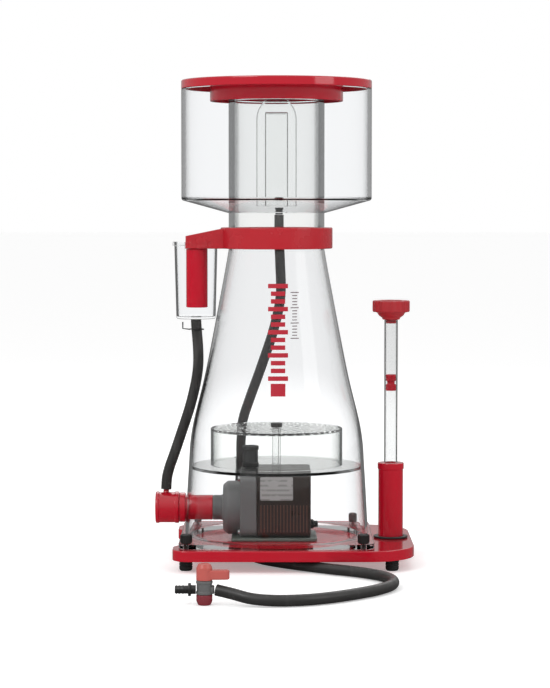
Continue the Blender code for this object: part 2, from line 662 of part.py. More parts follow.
def build_hose_clip():
    """Spring wire clip round the top of the air hose, with one leg bent up."""
    radius, wire, height = 0.0074, 0.0007, 0.2425
    start = math.radians(200)
    points = [(SILENCER_X - 0.0140, 0.0035, 0.2500), (SILENCER_X - 0.0140, 0.0035, 0.2430)]
    for step in range(17):
        angle = start - math.radians(320) * step / 16
        points.append((SILENCER_X + 0.0006 + radius * math.cos(angle), radius * math.sin(angle), height))
    tube_along("hose_clip", points, wire, BLACK_PLASTIC, 1)


# ---- pump ----------------------------------------------------------------------

def build_venturi():
    """Air inlet on the left of the intake, open to the left."""
    left, right, radius = VENTURI_LEFT, VENTURI_RIGHT, VENTURI_RADIUS
    throat = 0.006
    profile = [(INTAKE_BORE, right), (radius - 0.001, right), (radius, right - 0.001),
               (radius, left + 0.001), (radius - 0.001, left), (0.013, left),
               (throat, left + 0.009), (throat, left + 0.014)]
    venturi = turned("venturi_body", profile[::-1], RED, ROUND_MEDIUM, (0, 0, PUMP_Z), ALONG_X,
                     closed=True)
    barb = rod("venturi_barb", 0.0032, PUMP_Z + 0.012, BARB_TOP, None, 12, (BARB_X, 0, 0),
               collection=CUTTERS)
    combine(venturi, barb, "UNION")
    cut_round(venturi, 0.0016, PUMP_Z, BARB_TOP + 0.004, (BARB_X, 0, 0), sides=8)


def build_intake():
    ring("intake_tube", INTAKE_BORE, INTAKE_RADIUS, INTAKE_LEFT, INTAKE_RIGHT, RED, ROUND_MEDIUM,
         (0, 0, PUMP_Z), ALONG_X)
    ring("bulkhead_ring", INTAKE_RADIUS + GAP, BULKHEAD_RADIUS, BULKHEAD_LEFT, BULKHEAD_RIGHT, RED,
         ROUND_MEDIUM, (0, 0, PUMP_Z), ALONG_X)


def build_volute():
    axis = (0, 0, PUMP_Z)
    volute = rod("pump_volute", VOLUTE_RADIUS, VOLUTE_LEFT, VOLUTE_RIGHT, GREY_PLASTIC, ROUND_MEDIUM,
                 axis, ALONG_X)
    combine(volute, rod("volute_inlet", INTAKE_RADIUS, VOLUTE_INLET_LEFT, VOLUTE_LEFT + 0.003, None,
                        ROUND_MEDIUM, axis, ALONG_X, CUTTERS), "UNION")
    combine(volute, box("volute_flange", (VOLUTE_FLANGE_LEFT, -VOLUTE_FLANGE_HALF_DEPTH, MOTOR_BOTTOM),
                        (VOLUTE_RIGHT, VOLUTE_FLANGE_HALF_DEPTH, VOLUTE_FLANGE_TOP), None, 0.006, CUTTERS), "UNION")
    combine(volute, rod("volute_outlet", OUTLET_STUB_RADIUS, 0.075, OUTLET_STUB_TOP, None,
                        16, (OUTLET_X, 0, 0), collection=CUTTERS), "UNION")
    cut_round(volute, CHAMBER_RADIUS, CHAMBER_LEFT, VOLUTE_RIGHT + 0.002, axis, ALONG_X)
    cut_round(volute, INTAKE_BORE, VOLUTE_INLET_LEFT - 0.002, CHAMBER_LEFT + 0.002, axis, ALONG_X)
    cut_round(volute, CHAMBER_RADIUS + 0.0022, VOLUTE_RIGHT - 0.0022, VOLUTE_RIGHT + 0.002, axis,
              ALONG_X)
    cut_round(volute, OUTLET_STUB_BORE, 0.072, OUTLET_STUB_TOP + 0.002, (OUTLET_X, 0, 0), sides=12)
    ring("volute_seal", CHAMBER_RADIUS + 0.0003, CHAMBER_RADIUS + 0.0019, VOLUTE_RIGHT - 0.0019,
         VOLUTE_RIGHT, BLACK_RUBBER, ROUND_MEDIUM, axis, ALONG_X)
    ring("outlet_socket", OUTLET_STUB_RADIUS + GAP, OUTLET_SOCKET_RADIUS, OUTLET_SOCKET_BOTTOM,
         OUTLET_SOCKET_TOP, BLACK_RUBBER, ROUND_MEDIUM, (OUTLET_X, 0, 0))


def build_motor():
    depth = MOTOR_HALF_DEPTH
    motor = box("pump_motor", (MOTOR_LEFT, -depth, MOTOR_BOTTOM), (MOTOR_RIGHT, depth, MOTOR_TOP),
                MOTOR_RESIN, 0.005)
    cut_round(motor, ROTOR_POCKET_RADIUS, MOTOR_LEFT - 0.002, ROTOR_POCKET_END, (0, 0, PUMP_Z), ALONG_X)
    box("pump_label", (-0.017, -depth - 0.0008, 0.066), (0.017, -depth - GAP, 0.0905), LABEL_FILM)
    box("pump_bracket", (-0.047, -0.034, PLATE_TOP + GAP), (0.042, 0.034, MOTOR_BOTTOM - GAP),
        BRACKET_PLASTIC, 0.001)
    gland = [(0, 0.008), (0.0032, 0.008), (0.0040, 0.003), (0.0050, 0.003), (0.0050, 0), (0, 0)]
    turned("cable_gland", gland, BLACK_RUBBER, ROUND_SMALL, (MOTOR_RIGHT + GAP, 0.010, 0.036), ALONG_X)


def build_needle_wheel():
    axis = (0, 0, PUMP_Z)
    wheel = ring("needle_wheel", ROTOR_BORE, WHEEL_RADIUS, WHEEL_DISC_LEFT, WHEEL_RIGHT, GREY_PLASTIC,
                 ROUND_MEDIUM, axis, ALONG_X)
    pin_root = WHEEL_DISC_LEFT + 0.001
    pins = bmesh.new()
    for index in range(WHEEL_PINS):
        angle = math.tau * index / WHEEL_PINS
        spot = Matrix.Translation((WHEEL_PIN_CIRCLE * math.cos(angle), WHEEL_PIN_CIRCLE * math.sin(angle),
                                   (WHEEL_LEFT + pin_root) / 2))
        bmesh.ops.create_cone(pins, cap_ends=True, segments=6, radius1=WHEEL_PIN_RADIUS,
                              radius2=WHEEL_PIN_RADIUS, depth=pin_root - WHEEL_LEFT, matrix=spot)
    mesh = bpy.data.meshes.new("wheel_pins")
    pins.to_mesh(mesh)
    pins.free()
    tool = place(bpy.data.objects.new("wheel_pins", mesh), None, axis, ALONG_X, CUTTERS)
    combine(wheel, tool, "UNION")


def build_rotor():
    axis = (0, 0, PUMP_Z)
    ring("rotor_magnet", ROTOR_BORE, ROTOR_RADIUS, ROTOR_LEFT, ROTOR_RIGHT, MAGNET_FERRITE, ROUND_MEDIUM, axis, ALONG_X)
    rod("rotor_shaft", SHAFT_RADIUS, SHAFT_LEFT, SHAFT_RIGHT, SHAFT_STEEL, ROUND_SMALL, axis, ALONG_X)
    ring("shaft_bush_rear", ROTOR_BORE, ROTOR_RADIUS, 0.0190, ROTOR_POCKET_END - GAP, BLACK_RUBBER,
         ROUND_MEDIUM, axis, ALONG_X)
    ring("shaft_bush_front", ROTOR_BORE, 0.0085, -0.0246, -0.0194, BLACK_RUBBER, ROUND_SMALL, axis,
         ALONG_X)


# ---- regulator -----------------------------------------------------------------

def build_riser():
    location = (RISER_X, 0, 0)
    bottom = PLATE_TOP + GAP
    bore = REGULATOR_RADIUS + GAP
    profile = [(RISER_CAP_RADIUS - 0.001, RISER_TOP), (RISER_CAP_RADIUS, RISER_TOP - 0.001),
               (RISER_CAP_RADIUS, 0.0960), (RISER_RADIUS, 0.0955), (RISER_RADIUS, bottom),
               (RISER_BORE, bottom), (RISER_BORE, 0.0980), (bore, 0.0980), (bore, RISER_TOP)]
    turned("riser_tube", profile, RED, ROUND_MEDIUM, location, closed=True)
    ring("riser_flange", RISER_RADIUS + GAP, 0.0179, bottom, bottom + 0.002, BLACK_RUBBER,
         ROUND_MEDIUM, location)


def build_regulator():
    location = (RISER_X, 0, 0)
    ring("regulator_tube", REGULATOR_BORE, REGULATOR_RADIUS, REGULATOR_BOTTOM, REGULATOR_TOP, CLEAR,
         ROUND_MEDIUM, location)
    bottom, top = REGULATOR_BOTTOM - 0.0075, REGULATOR_BOTTOM - GAP
    piston = [(0.0095, top), (0.0095, bottom), (0.0040, bottom), (0.0040, top)]
    turned("regulator_piston", piston, BLACK_RUBBER, ROUND_MEDIUM, location, closed=True)
    upper, lower = MARKER_HIGH - MARKER_BAND, MARKER_LOW + MARKER_BAND
    spool = [(0, MARKER_HIGH), (MARKER_RADIUS, MARKER_HIGH), (MARKER_RADIUS, upper),
             (MARKER_WAIST, upper - 0.0008), (MARKER_WAIST, lower + 0.0008), (MARKER_RADIUS, lower),
             (MARKER_RADIUS, MARKER_LOW), (0, MARKER_LOW)]
    turned("level_marker", spool, RED, 16, location)


def build_knob():
    """Fluted knob on a flared hub, with a stub inside the regulator tube."""
    stub = REGULATOR_BORE - GAP
    hub = [(0, KNOB_DISC_BOTTOM + 0.004), (0.0155, KNOB_DISC_BOTTOM + 0.004),
           (0.0155, KNOB_DISC_BOTTOM), (0.0129, 0.2570), (0.0095, 0.2545), (0.0089, KNOB_BOTTOM),
           (stub, KNOB_BOTTOM), (stub, KNOB_BOTTOM - KNOB_STUB_LENGTH),
           (0, KNOB_BOTTOM - KNOB_STUB_LENGTH)]
    outline = []
    points = KNOB_FLUTES * 5
    for index in range(points):
        angle = math.tau * index / points
        radius = KNOB_RADIUS - KNOB_FLUTE_DEPTH * (1 - math.cos(KNOB_FLUTES * angle)) / 2
        outline.append((radius * math.cos(angle), radius * math.sin(angle)))
    knob = plate("regulator_knob", outline, KNOB_DISC_BOTTOM, KNOB_TOP, RED, location=(RISER_X, 0, 0))
    tool = turned("knob_hub", hub, None, ROUND_MEDIUM, (RISER_X, 0, 0), collection=CUTTERS)
    combine(knob, tool, "UNION")


# ---- drain hose and valve ------------------------------------------------------

def build_drain_hose():
    path = evenly_spaced(smooth_through(DRAIN_HOSE_ROUTE, 8), HOSE_POINT_SPACING)
    tube_along("drain_hose", path, HOSE_RADIUS, HOSE_SILICONE)


def build_valve():
    centre = (VALVE_X, VALVE_Y, 0)
    flow = (0, VALVE_Y, VALVE_Z)
    body = rod("valve_body", VALVE_BODY_RADIUS, VALVE_BODY_BOTTOM, VALVE_BODY_TOP, GREY_PLASTIC, 16,
               centre)
    barb = rod("valve_barb", VALVE_BARB_RADIUS, VALVE_X, VALVE_BARB_END, None, 12, flow, ALONG_X, CUTTERS)
    combine(body, barb, "UNION")
    cut_round(body, VALVE_BORE, VALVE_X - 0.0125, VALVE_BARB_END + 0.003, flow, ALONG_X, 8)
    cut_round(body, VALVE_STEM_RADIUS + GAP, VALVE_Z, VALVE_BODY_TOP + 0.002, centre, sides=8)
    cavity = bpy.data.meshes.new("valve_cavity")
    shape = bmesh.new()
    bmesh.ops.create_uvsphere(shape, u_segments=12, v_segments=8, radius=VALVE_CAVITY_RADIUS)
    shape.to_mesh(cavity)
    shape.free()
    tool = place(bpy.data.objects.new("valve_cavity", cavity), None, (VALVE_X, VALVE_Y, VALVE_Z),
                 collection=CUTTERS)
    combine(body, tool, "DIFFERENCE")


def build_valve_ball():
    mesh = bpy.data.meshes.new("valve_ball")
    shape = bmesh.new()
    bmesh.ops.create_uvsphere(shape, u_segments=12, v_segments=8, radius=VALVE_BALL_RADIUS)
    shape.to_mesh(mesh)
    shape.free()
    ball = place(bpy.data.objects.new("valve_ball", mesh), SHAFT_STEEL, (VALVE_X, VALVE_Y, VALVE_Z))
    cut_round(ball, VALVE_BORE, -0.006, 0.006, (VALVE_X, VALVE_Y, VALVE_Z), ALONG_X, 8)


def build_valve_ends():
    profile = [(0, VALVE_BODY_BOTTOM - GAP), (VALVE_CAP_RADIUS - 0.001, VALVE_BODY_BOTTOM - GAP),
               (VALVE_CAP_RADIUS, VALVE_BODY_BOTTOM - 0.0015), (VALVE_CAP_RADIUS - 0.0004, 0.003),
               (VALVE_CAP_RADIUS - 0.002, 0), (0, 0)]
    turned("valve_cap", profile, RED, ROUND_MEDIUM, (VALVE_X, VALVE_Y, 0))
    right = VALVE_X - VALVE_BODY_RADIUS - 0.0002
    barb = VALVE_BARB_RADIUS
    spigot = [(VALVE_BORE, VALVE_SPIGOT_END), (barb, VALVE_SPIGOT_END), (barb, VALVE_STOP_LEFT),
              (VALVE_STOP_RADIUS, VALVE_STOP_LEFT + GAP), (VALVE_STOP_RADIUS, VALVE_STOP_RIGHT - GAP),
              (barb, VALVE_STOP_RIGHT), (barb, right), (VALVE_BORE, right)]
    turned("valve_spigot", spigot[::-1], BLACK_PLASTIC, 16, (0, VALVE_Y, VALVE_Z), ALONG_X, closed=True)


def build_valve_handle():
    """Lever that turns on the valve's upright stem."""
    centre = (VALVE_X, VALVE_Y, 0)
    bottom = VALVE_BODY_TOP + GAP
    top = VALVE_HANDLE_TOP
    hub = [(0, top), (0.0050, top), (0.0070, top - 0.002), (0.0076, bottom), (VALVE_STEM_RADIUS, bottom),
           (VALVE_STEM_RADIUS, VALVE_Z + VALVE_BALL_RADIUS + GAP), (0, VALVE_Z + VALVE_BALL_RADIUS + GAP)]
    handle = turned("valve_handle", hub, VALVE_RED, 16, centre)
    lever = box("valve_lever", (VALVE_X, VALVE_Y - 0.0042, bottom + 0.0006), (VALVE_LEVER_END, VALVE_Y + 0.0042, VALVE_LEVER_TOP), None, 0.0015, CUTTERS)
    combine(handle, lever, "UNION")


BUILDERS = (
    build_base_plate, build_channel_cover, build_feet, build_thumb_screws,
    build_body_flange, build_body_shell, build_body_gasket, build_bubble_plate, build_diffuser_drum,
    build_neck, build_collar, build_cup, build_lid, build_drain_tower, build_drain_spigot,
    build_silencer, build_air_hose, build_hose_clip,
    build_venturi, build_intake, build_volute, build_motor, build_needle_wheel, build_rotor,
    build_riser, build_regulator, build_knob,
    build_drain_hose, build_valve, build_valve_ball, build_valve_ends, build_valve_handle,
)

for build in BUILDERS:
    build()
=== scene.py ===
"""Looks of a cone-bodied protein skimmer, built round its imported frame.

Each sub-assembly is a class that makes its pieces from the frame's places and dresses
them. Sizes are in metres, +Z is up, and -Y is the side that the pump's label faces.
"""

import logging
import math
from dataclasses import dataclass
from enum import Enum
from typing import Any, Callable, Sequence

import bmesh
import bpy
from mathutils import Matrix, Vector


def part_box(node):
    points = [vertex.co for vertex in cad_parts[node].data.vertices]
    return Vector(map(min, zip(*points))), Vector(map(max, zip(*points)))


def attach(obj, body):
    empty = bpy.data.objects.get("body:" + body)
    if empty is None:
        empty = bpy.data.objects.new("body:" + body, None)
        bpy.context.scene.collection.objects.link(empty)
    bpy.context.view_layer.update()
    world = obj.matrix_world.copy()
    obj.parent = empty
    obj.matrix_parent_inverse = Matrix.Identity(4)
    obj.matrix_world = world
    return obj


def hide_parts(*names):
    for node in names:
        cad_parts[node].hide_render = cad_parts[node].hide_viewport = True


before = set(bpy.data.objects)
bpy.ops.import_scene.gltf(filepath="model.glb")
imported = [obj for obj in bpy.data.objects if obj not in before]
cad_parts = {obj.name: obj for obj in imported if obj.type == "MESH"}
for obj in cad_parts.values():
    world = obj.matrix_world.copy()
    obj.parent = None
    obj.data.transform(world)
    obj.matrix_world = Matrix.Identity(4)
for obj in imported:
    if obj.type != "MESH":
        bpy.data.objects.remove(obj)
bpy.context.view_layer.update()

LOG = logging.getLogger("skimmer")

Colour = tuple[float, float, float]
Point = tuple[float, float, float]
Corner = tuple[float, float, float]
Flat = tuple[float, float]

# Lengths in metres: between pieces that don't touch; between points that are one point; of the
# short flat stretch beside a rounded edge, which keeps the flat's shading even; and how far a
# cutting tool reaches past the piece.
GAP, WELD, LEAD, PAST = 0.0003, 1e-6, 0.0003, 0.002
# Edges that turn by more than this many degrees stay sharp.
SHARP = 38
# How many sides turned pieces have, by their size.
FINE, ROUND, MEDIUM, COARSE, SMALL, TINY = 144, 96, 72, 48, 36, 24
# The four corners of the base, as the names of its feet and screws end.
CORNERS = ("left_front", "left_back", "right_front", "right_back")


class Axis(Enum):
    """Which way a turned piece's own axis points."""

    UP = "up"
    ALONG_X = "along_x"


class Body(Enum):
    """The frame's bodies that carry pieces made here."""

    ROOT = "root"
    CUP = "cup"
    LID = "lid"
    REGULATOR = "regulator"
    KNOB = "knob"
    LEVER = "valve_lever"


# ---- places ---------------------------------------------------------------------

def low(node: str) -> Vector:
    """Lowest corner of a node's box."""
    return Vector(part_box(node)[0])


def high(node: str) -> Vector:
    """Highest corner of a node's box."""
    return Vector(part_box(node)[1])


def middle(node: str) -> Vector:
    """Centre of a node's box."""
    return (low(node) + high(node)) / 2


def extent(node: str) -> tuple[Vector, Vector, Vector]:
    """Lowest corner, highest corner and centre of a node's box."""
    return low(node), high(node), middle(node)


# ---- outlines and meshes ----------------------------------------------------------

# Turns that stand a flat slab up, with its thickness along -Y or along +X.
FACING_FRONT = Matrix.Rotation(math.radians(90), 4, "X")
FACING_RIGHT = Matrix(((0, 0, 1, 0), (1, 0, 0, 0), (0, 1, 0, 0), (0, 0, 0, 1)))


def rounded(corners: Sequence[Corner], closed: bool = True, arc: int = 5) -> list[Flat]:
    """An outline whose corners are arcs, each with a short lead so that the flats shade flat.

    Args:
        corners: (x, y, corner radius) of each corner; a radius of 0 keeps it sharp.
        closed: whether the last corner joins the first.
        arc: how many steps an arc has.

    Returns:
        The outline's points.
    """
    spots = [Vector(corner[:2]) for corner in corners]
    last = len(corners) - 1
    bends: list[tuple[Vector, Vector, float, float]] = []
    for index, (_, _, radius) in enumerate(corners):
        before = spots[index - 1] - spots[index]
        after = spots[(index + 1) % len(corners)] - spots[index]
        plain = radius == 0 or (not closed and index in (0, last))
        half = 0.0 if plain else before.angle(after) / 2
        bends.append((before, after, half, 0.0 if plain else radius / math.tan(half)))
    points: list[Flat] = []
    for index, (before, after, half, reach) in enumerate(bends):
        corner, radius = spots[index], corners[index][2]
        if not reach:
            points.append((corner.x, corner.y))
            continue
        ahead = bends[(index + 1) % len(bends)][3]
        leads = [min(LEAD, 0.2 * (before.length - reach - bends[index - 1][3])),
                 min(LEAD, 0.2 * (after.length - reach - ahead))]
        before, after = before.normalized(), after.normalized()
        centre = corner + (before + after).normalized() * (radius / math.sin(half))
        start = corner + before * reach - centre
        end = corner + after * reach - centre
        sweep = math.atan2(start.cross(end), start.dot(end))
        bend = [centre + Matrix.Rotation(sweep * step / arc, 2) @ start for step in range(arc + 1)]
        if leads[0] > 2 * WELD:
            bend.insert(0, corner + before * (reach + leads[0]))
        if leads[1] > 2 * WELD:
            bend.append(corner + after * (reach + leads[1]))
        points += [(spot.x, spot.y) for spot in bend]
    return points


def smooth_path(stations: Sequence[Sequence[float]], per_span: int) -> list[Vector]:
    """Points of a Catmull-Rom curve through the stations.

    Args:
        stations: the points that the curve passes through.
        per_span: points made for each stretch between two stations.

    Returns:
        The curve's points.
    """
    points = [Vector(station) for station in stations]
    ahead = [2 * points[0] - points[1], *points, 2 * points[-1] - points[-2]]
    curve: list[Vector] = []
    for index in range(len(points) - 1):
        p0, p1, p2, p3 = ahead[index:index + 4]
        for step in range(per_span):
            t = step / per_span
            curve.append(0.5 * (2 * p1 + (p2 - p0) * t + (2 * p0 - 5 * p1 + 4 * p2 - p3) * t ** 2
                                + (3 * p1 - p0 - 3 * p2 + p3) * t ** 3))
    curve.append(points[-1])
    return curve


def path_length(path: Sequence[Vector]) -> float:
    """Length of a path through its points."""
    return sum((after - before).length for before, after in zip(path, path[1:]))


def tidy_mesh(mesh: bpy.types.Mesh, turn: Matrix | None = None) -> bpy.types.Mesh:
    """Weld, point the faces outwards, place and shade a mesh.

    Args:
        mesh: the mesh to change.
        turn: where the mesh goes.

    Returns:
        The same mesh.
    """
    shape = bmesh.new()
    shape.from_mesh(mesh)
    bmesh.ops.remove_doubles(shape, verts=shape.verts, dist=WELD)
    bmesh.ops.dissolve_degenerate(shape, edges=shape.edges, dist=WELD)
    bmesh.ops.recalc_face_normals(shape, faces=shape.faces)
    if turn is not None:
        bmesh.ops.transform(shape, matrix=turn, verts=shape.verts)
    shape.to_mesh(mesh)
    shape.free()
    mesh.shade_smooth()
    mesh.set_sharp_from_angle(angle=math.radians(SHARP))
    return mesh


def evaluated_mesh(obj: bpy.types.Object) -> bpy.types.Mesh:
    """The mesh that an object's modifiers make; the object itself is removed."""
    bpy.context.view_layer.update()
    graph = bpy.context.evaluated_depsgraph_get()
    mesh = bpy.data.meshes.new_from_object(obj.evaluated_get(graph))
    bpy.data.objects.remove(obj, do_unlink=True)
    return mesh


def loose_object(name: str, data: Any) -> bpy.types.Object:
    """An object in the scene that a piece is still being made from."""
    obj = bpy.data.objects.new(name, data)
    bpy.context.scene.collection.objects.link(obj)
    return obj


def slab(outline: Sequence[Flat], bottom: float, top: float, edge: float = 0.0, arc: int = 3,
         turn: Matrix | None = None) -> bpy.types.Mesh:
    """A flat outline given thickness, with rounded edges.

    Args:
        outline: the outline's points, anticlockwise.
        bottom: height of the lower face.
        top: height of the upper face.
        edge: radius of the rounded edges.
        arc: steps in an edge's quarter round.
        turn: where the slab goes.

    Returns:
        The slab's mesh.
    """
    spots = [Vector(point) for point in outline]
    normals: list[Vector] = []
    for index, spot in enumerate(spots):
        before = (spot - spots[index - 1]).normalized()
        after = (spots[(index + 1) % len(spots)] - spot).normalized()
        along = (before + after).normalized()
        normals.append(Vector((along.y, -along.x)) / max(before.dot(along), 0.5))
    rounds = [math.radians(90) * step / arc for step in range(arc + 1)] if edge else [math.radians(90)]
    levels = [(edge * (1 - math.sin(a)), bottom + edge * (1 - math.cos(a))) for a in rounds]
    lead = min(LEAD, 0.3 * edge)
    if lead and top - bottom > 2.2 * (edge + lead):
        levels = [(edge + lead, bottom), *levels, (0.0, bottom + edge + lead)]
    levels += [(inset, top + bottom - height) for inset, height in reversed(levels)]
    shape = bmesh.new()
    loops = []
    for inset, height in levels:
        loops.append([shape.verts.new((*(spot - normal * inset), height))
                      for spot, normal in zip(spots, normals)])
    count = len(spots)
    for lower, upper in zip(loops, loops[1:]):
        for index in range(count):
            after = (index + 1) % count
            shape.faces.new((lower[index], lower[after], upper[after], upper[index]))
    shape.faces.new(list(reversed(loops[0])))
    shape.faces.new(loops[-1])
    mesh = bpy.data.meshes.new("slab")
    shape.to_mesh(mesh)
    shape.free()
    return tidy_mesh(mesh, turn)


def rectangle(lo: Flat, hi: Flat, corner: float) -> list[Flat]:
    """A rectangle with rounded corners."""
    return rounded([(lo[0], lo[1], corner), (hi[0], lo[1], corner), (hi[0], hi[1], corner),
                    (lo[0], hi[1], corner)])


def carve(mesh: bpy.types.Mesh, tool: bpy.types.Mesh, operation: str = "DIFFERENCE") -> bpy.types.Mesh:
    """Cut a mesh with another, or join them.

    Args:
        mesh: the piece's mesh.
        tool: the mesh that cuts it or joins it.
        operation: DIFFERENCE or UNION.

    Returns:
        The new mesh.
    """
    piece = loose_object("carved", mesh)
    cutter = loose_object("carver", tool)
    boolean = piece.modifiers.new("carve", "BOOLEAN")
    boolean.operation = operation
    boolean.solver = "EXACT"
    boolean.object = cutter
    result = evaluated_mesh(piece)
    bpy.data.objects.remove(cutter, do_unlink=True)
    return tidy_mesh(result)


def merged(meshes: Sequence[bpy.types.Mesh]) -> bpy.types.Mesh:
    """Several meshes as one, each still a closed body."""
    shape = bmesh.new()
    for mesh in meshes:
        shape.from_mesh(mesh)
    result = bpy.data.meshes.new("merged")
    shape.to_mesh(result)
    shape.free()
    result.shade_smooth()
    result.set_sharp_from_angle(angle=math.radians(SHARP))
    return result


# ---- geometry trees ----------------------------------------------------------------

class NodeWork:
    """Nodes of a tree under construction."""

    def __init__(self, tree: bpy.types.NodeTree) -> None:
        """Keep the tree that is being filled."""
        self.tree = tree

    def fill(self, socket: bpy.types.NodeSocket, value: Any) -> None:
        """Link a socket to another, or set its value."""
        if isinstance(value, bpy.types.NodeSocket):
            self.tree.links.new(value, socket)
        else:
            socket.default_value = value

    def node(self, kind: str, links: dict[str | int, Any] | None = None,
             **settings: Any) -> bpy.types.Node:
        """Add a node.

        Args:
            kind: the node's type.
            links: for each input, a socket to link or a value to set.
            settings: the node's own properties.

        Returns:
            The node.
        """
        made = self.tree.nodes.new(kind)
        for key, value in settings.items():
            setattr(made, key, value)
        for key, value in (links or {}).items():
            self.fill(made.inputs[key], value)
        return made

    def math(self, operation: str, first: Any, second: Any = 0.0) -> bpy.types.NodeSocket:
        """A Math node's result."""
        return self.node("ShaderNodeMath", {0: first, 1: second}, operation=operation).outputs[0]


MADE_TREES: dict[str, bpy.types.NodeTree] = {}


def made_once(maker: Callable[[], bpy.types.NodeTree]) -> bpy.types.NodeTree:
    """The tree that a function builds, built the first time it is asked for."""
    if maker.__name__ not in MADE_TREES:
        MADE_TREES[maker.__name__] = maker()
    return MADE_TREES[maker.__name__]


class Tree(NodeWork):
    """A Geometry Nodes tree under construction, with named inputs."""

    def __init__(self, name: str, inputs: Sequence[tuple[str, str]]) -> None:
        """Make the tree and its sockets.

        Args:
            name: the tree's name.
            inputs: (name, socket type) of each input after the geometry.
        """
        super().__init__(bpy.data.node_groups.new(name, "GeometryNodeTree"))
        face = self.tree.interface
        face.new_socket("Geometry", in_out="INPUT", socket_type="NodeSocketGeometry")
        for label, kind in inputs:
            face.new_socket(label, in_out="INPUT", socket_type=kind)
        face.new_socket("Geometry", in_out="OUTPUT", socket_type="NodeSocketGeometry")
        self.inputs = self.tree.nodes.new("NodeGroupInput").outputs
        self.output = self.tree.nodes.new("NodeGroupOutput").inputs["Geometry"]

    def end(self, geometry: bpy.types.NodeSocket) -> bpy.types.NodeTree:
        """Set the material on the geometry, and end the tree with it."""
        dressed = self.node("GeometryNodeSetMaterial", {"Geometry": geometry,
                                                        "Material": self.inputs["Material"]})
        self.tree.links.new(dressed.outputs[0], self.output)
        return self.tree

    def added(self, repeated: bpy.types.NodeSocket) -> bpy.types.NodeSocket:
        """The tree's own geometry with repeated pieces beside it."""
        real = self.node("GeometryNodeRealizeInstances", {"Geometry": repeated})
        both = self.node("GeometryNodeJoinGeometry")
        self.tree.links.new(self.inputs["Geometry"], both.inputs[0])
        self.tree.links.new(real.outputs[0], both.inputs[0])
        return both.outputs[0]


def turned_tree() -> bpy.types.NodeTree:
    """Tree that sweeps a profile round the upright axis."""
    tree = Tree("turned_profile", [("Sides", "NodeSocketInt"), ("Material", "NodeSocketMaterial")])
    profile = tree.node("GeometryNodeMeshToCurve", {"Mesh": tree.inputs["Geometry"]})
    circle = tree.node("GeometryNodeCurvePrimitiveCircle", {"Resolution": tree.inputs["Sides"],
                                                            "Radius": 1.0})
    swept = tree.node("GeometryNodeCurveToMesh", {"Curve": circle.outputs["Curve"],
                                                  "Profile Curve": profile.outputs["Curve"]})
    real = tree.node("GeometryNodeRealizeInstances", {"Geometry": swept.outputs["Mesh"]})
    welded = tree.node("GeometryNodeMergeByDistance", {"Geometry": real.outputs[0], "Distance": WELD})
    return tree.end(welded.outputs[0])


def ribs_around_tree() -> bpy.types.NodeTree:
    """Tree that sets upright ribs in a ring round a turned piece."""
    tree = Tree("ribs_around", [
        ("Count", "NodeSocketInt"), ("Radius", "NodeSocketFloat"), ("Size", "NodeSocketVector"),
        ("Centre", "NodeSocketVector"), ("Material", "NodeSocketMaterial")])
    ring = tree.node("GeometryNodeMeshCircle", {"Vertices": tree.inputs["Count"],
                                                "Radius": tree.inputs["Radius"]})
    rib = tree.node("GeometryNodeMeshCube", {"Size": tree.inputs["Size"]})
    index = tree.node("GeometryNodeInputIndex")
    step = tree.math("DIVIDE", math.tau, tree.inputs["Count"])
    angle = tree.math("MULTIPLY", index.outputs[0], step)
    turn = tree.node("ShaderNodeCombineXYZ", {"Z": angle})
    repeated = tree.node("GeometryNodeInstanceOnPoints", {
        "Points": ring.outputs[0], "Instance": rib.outputs[0], "Rotation": turn.outputs[0]})
    placed = tree.node("GeometryNodeTransform", {"Geometry": repeated.outputs[0],
                                                 "Translation": tree.inputs["Centre"]})
    return tree.end(tree.added(placed.outputs[0]))


def ribs_in_line_tree() -> bpy.types.NodeTree:
    """Tree that sets equal ribs in a straight row."""
    tree = Tree("ribs_in_line", [
        ("Count", "NodeSocketInt"), ("Start", "NodeSocketVector"), ("Pitch", "NodeSocketVector"),
        ("Size", "NodeSocketVector"), ("Material", "NodeSocketMaterial")])
    row = tree.node("GeometryNodeMeshLine", {
        "Count": tree.inputs["Count"], "Start Location": tree.inputs["Start"],
        "Offset": tree.inputs["Pitch"]})
    rib = tree.node("GeometryNodeMeshCube", {"Size": tree.inputs["Size"]})
    repeated = tree.node("GeometryNodeInstanceOnPoints", {"Points": row.outputs[0],
                                                          "Instance": rib.outputs[0]})
    return tree.end(tree.added(repeated.outputs[0]))


def perforated_tree() -> bpy.types.NodeTree:
    """Tree that drills a ring of holes down through a piece."""
    tree = Tree("perforated_ring", [
        ("Count", "NodeSocketInt"), ("Radius", "NodeSocketFloat"), ("Hole", "NodeSocketFloat"),
        ("Depth", "NodeSocketFloat"), ("Centre", "NodeSocketVector"),
        ("Material", "NodeSocketMaterial")])
    ring = tree.node("GeometryNodeMeshCircle", {"Vertices": tree.inputs["Count"],
                                                "Radius": tree.inputs["Radius"]})
    drill = tree.node("GeometryNodeMeshCylinder", {"Vertices": 12, "Radius": tree.inputs["Hole"],
                                                   "Depth": tree.inputs["Depth"]})
    repeated = tree.node("GeometryNodeInstanceOnPoints", {"Points": ring.outputs[0],
                                                          "Instance": drill.outputs["Mesh"]})
    placed = tree.node("GeometryNodeTransform", {"Geometry": repeated.outputs[0],
                                                 "Translation": tree.inputs["Centre"]})
    real = tree.node("GeometryNodeRealizeInstances", {"Geometry": placed.outputs[0]})
    drilled = tree.node("GeometryNodeMeshBoolean", {0: tree.inputs["Geometry"], 1: real.outputs[0]},
                        operation="DIFFERENCE")
    return tree.end(drilled.outputs["Mesh"])


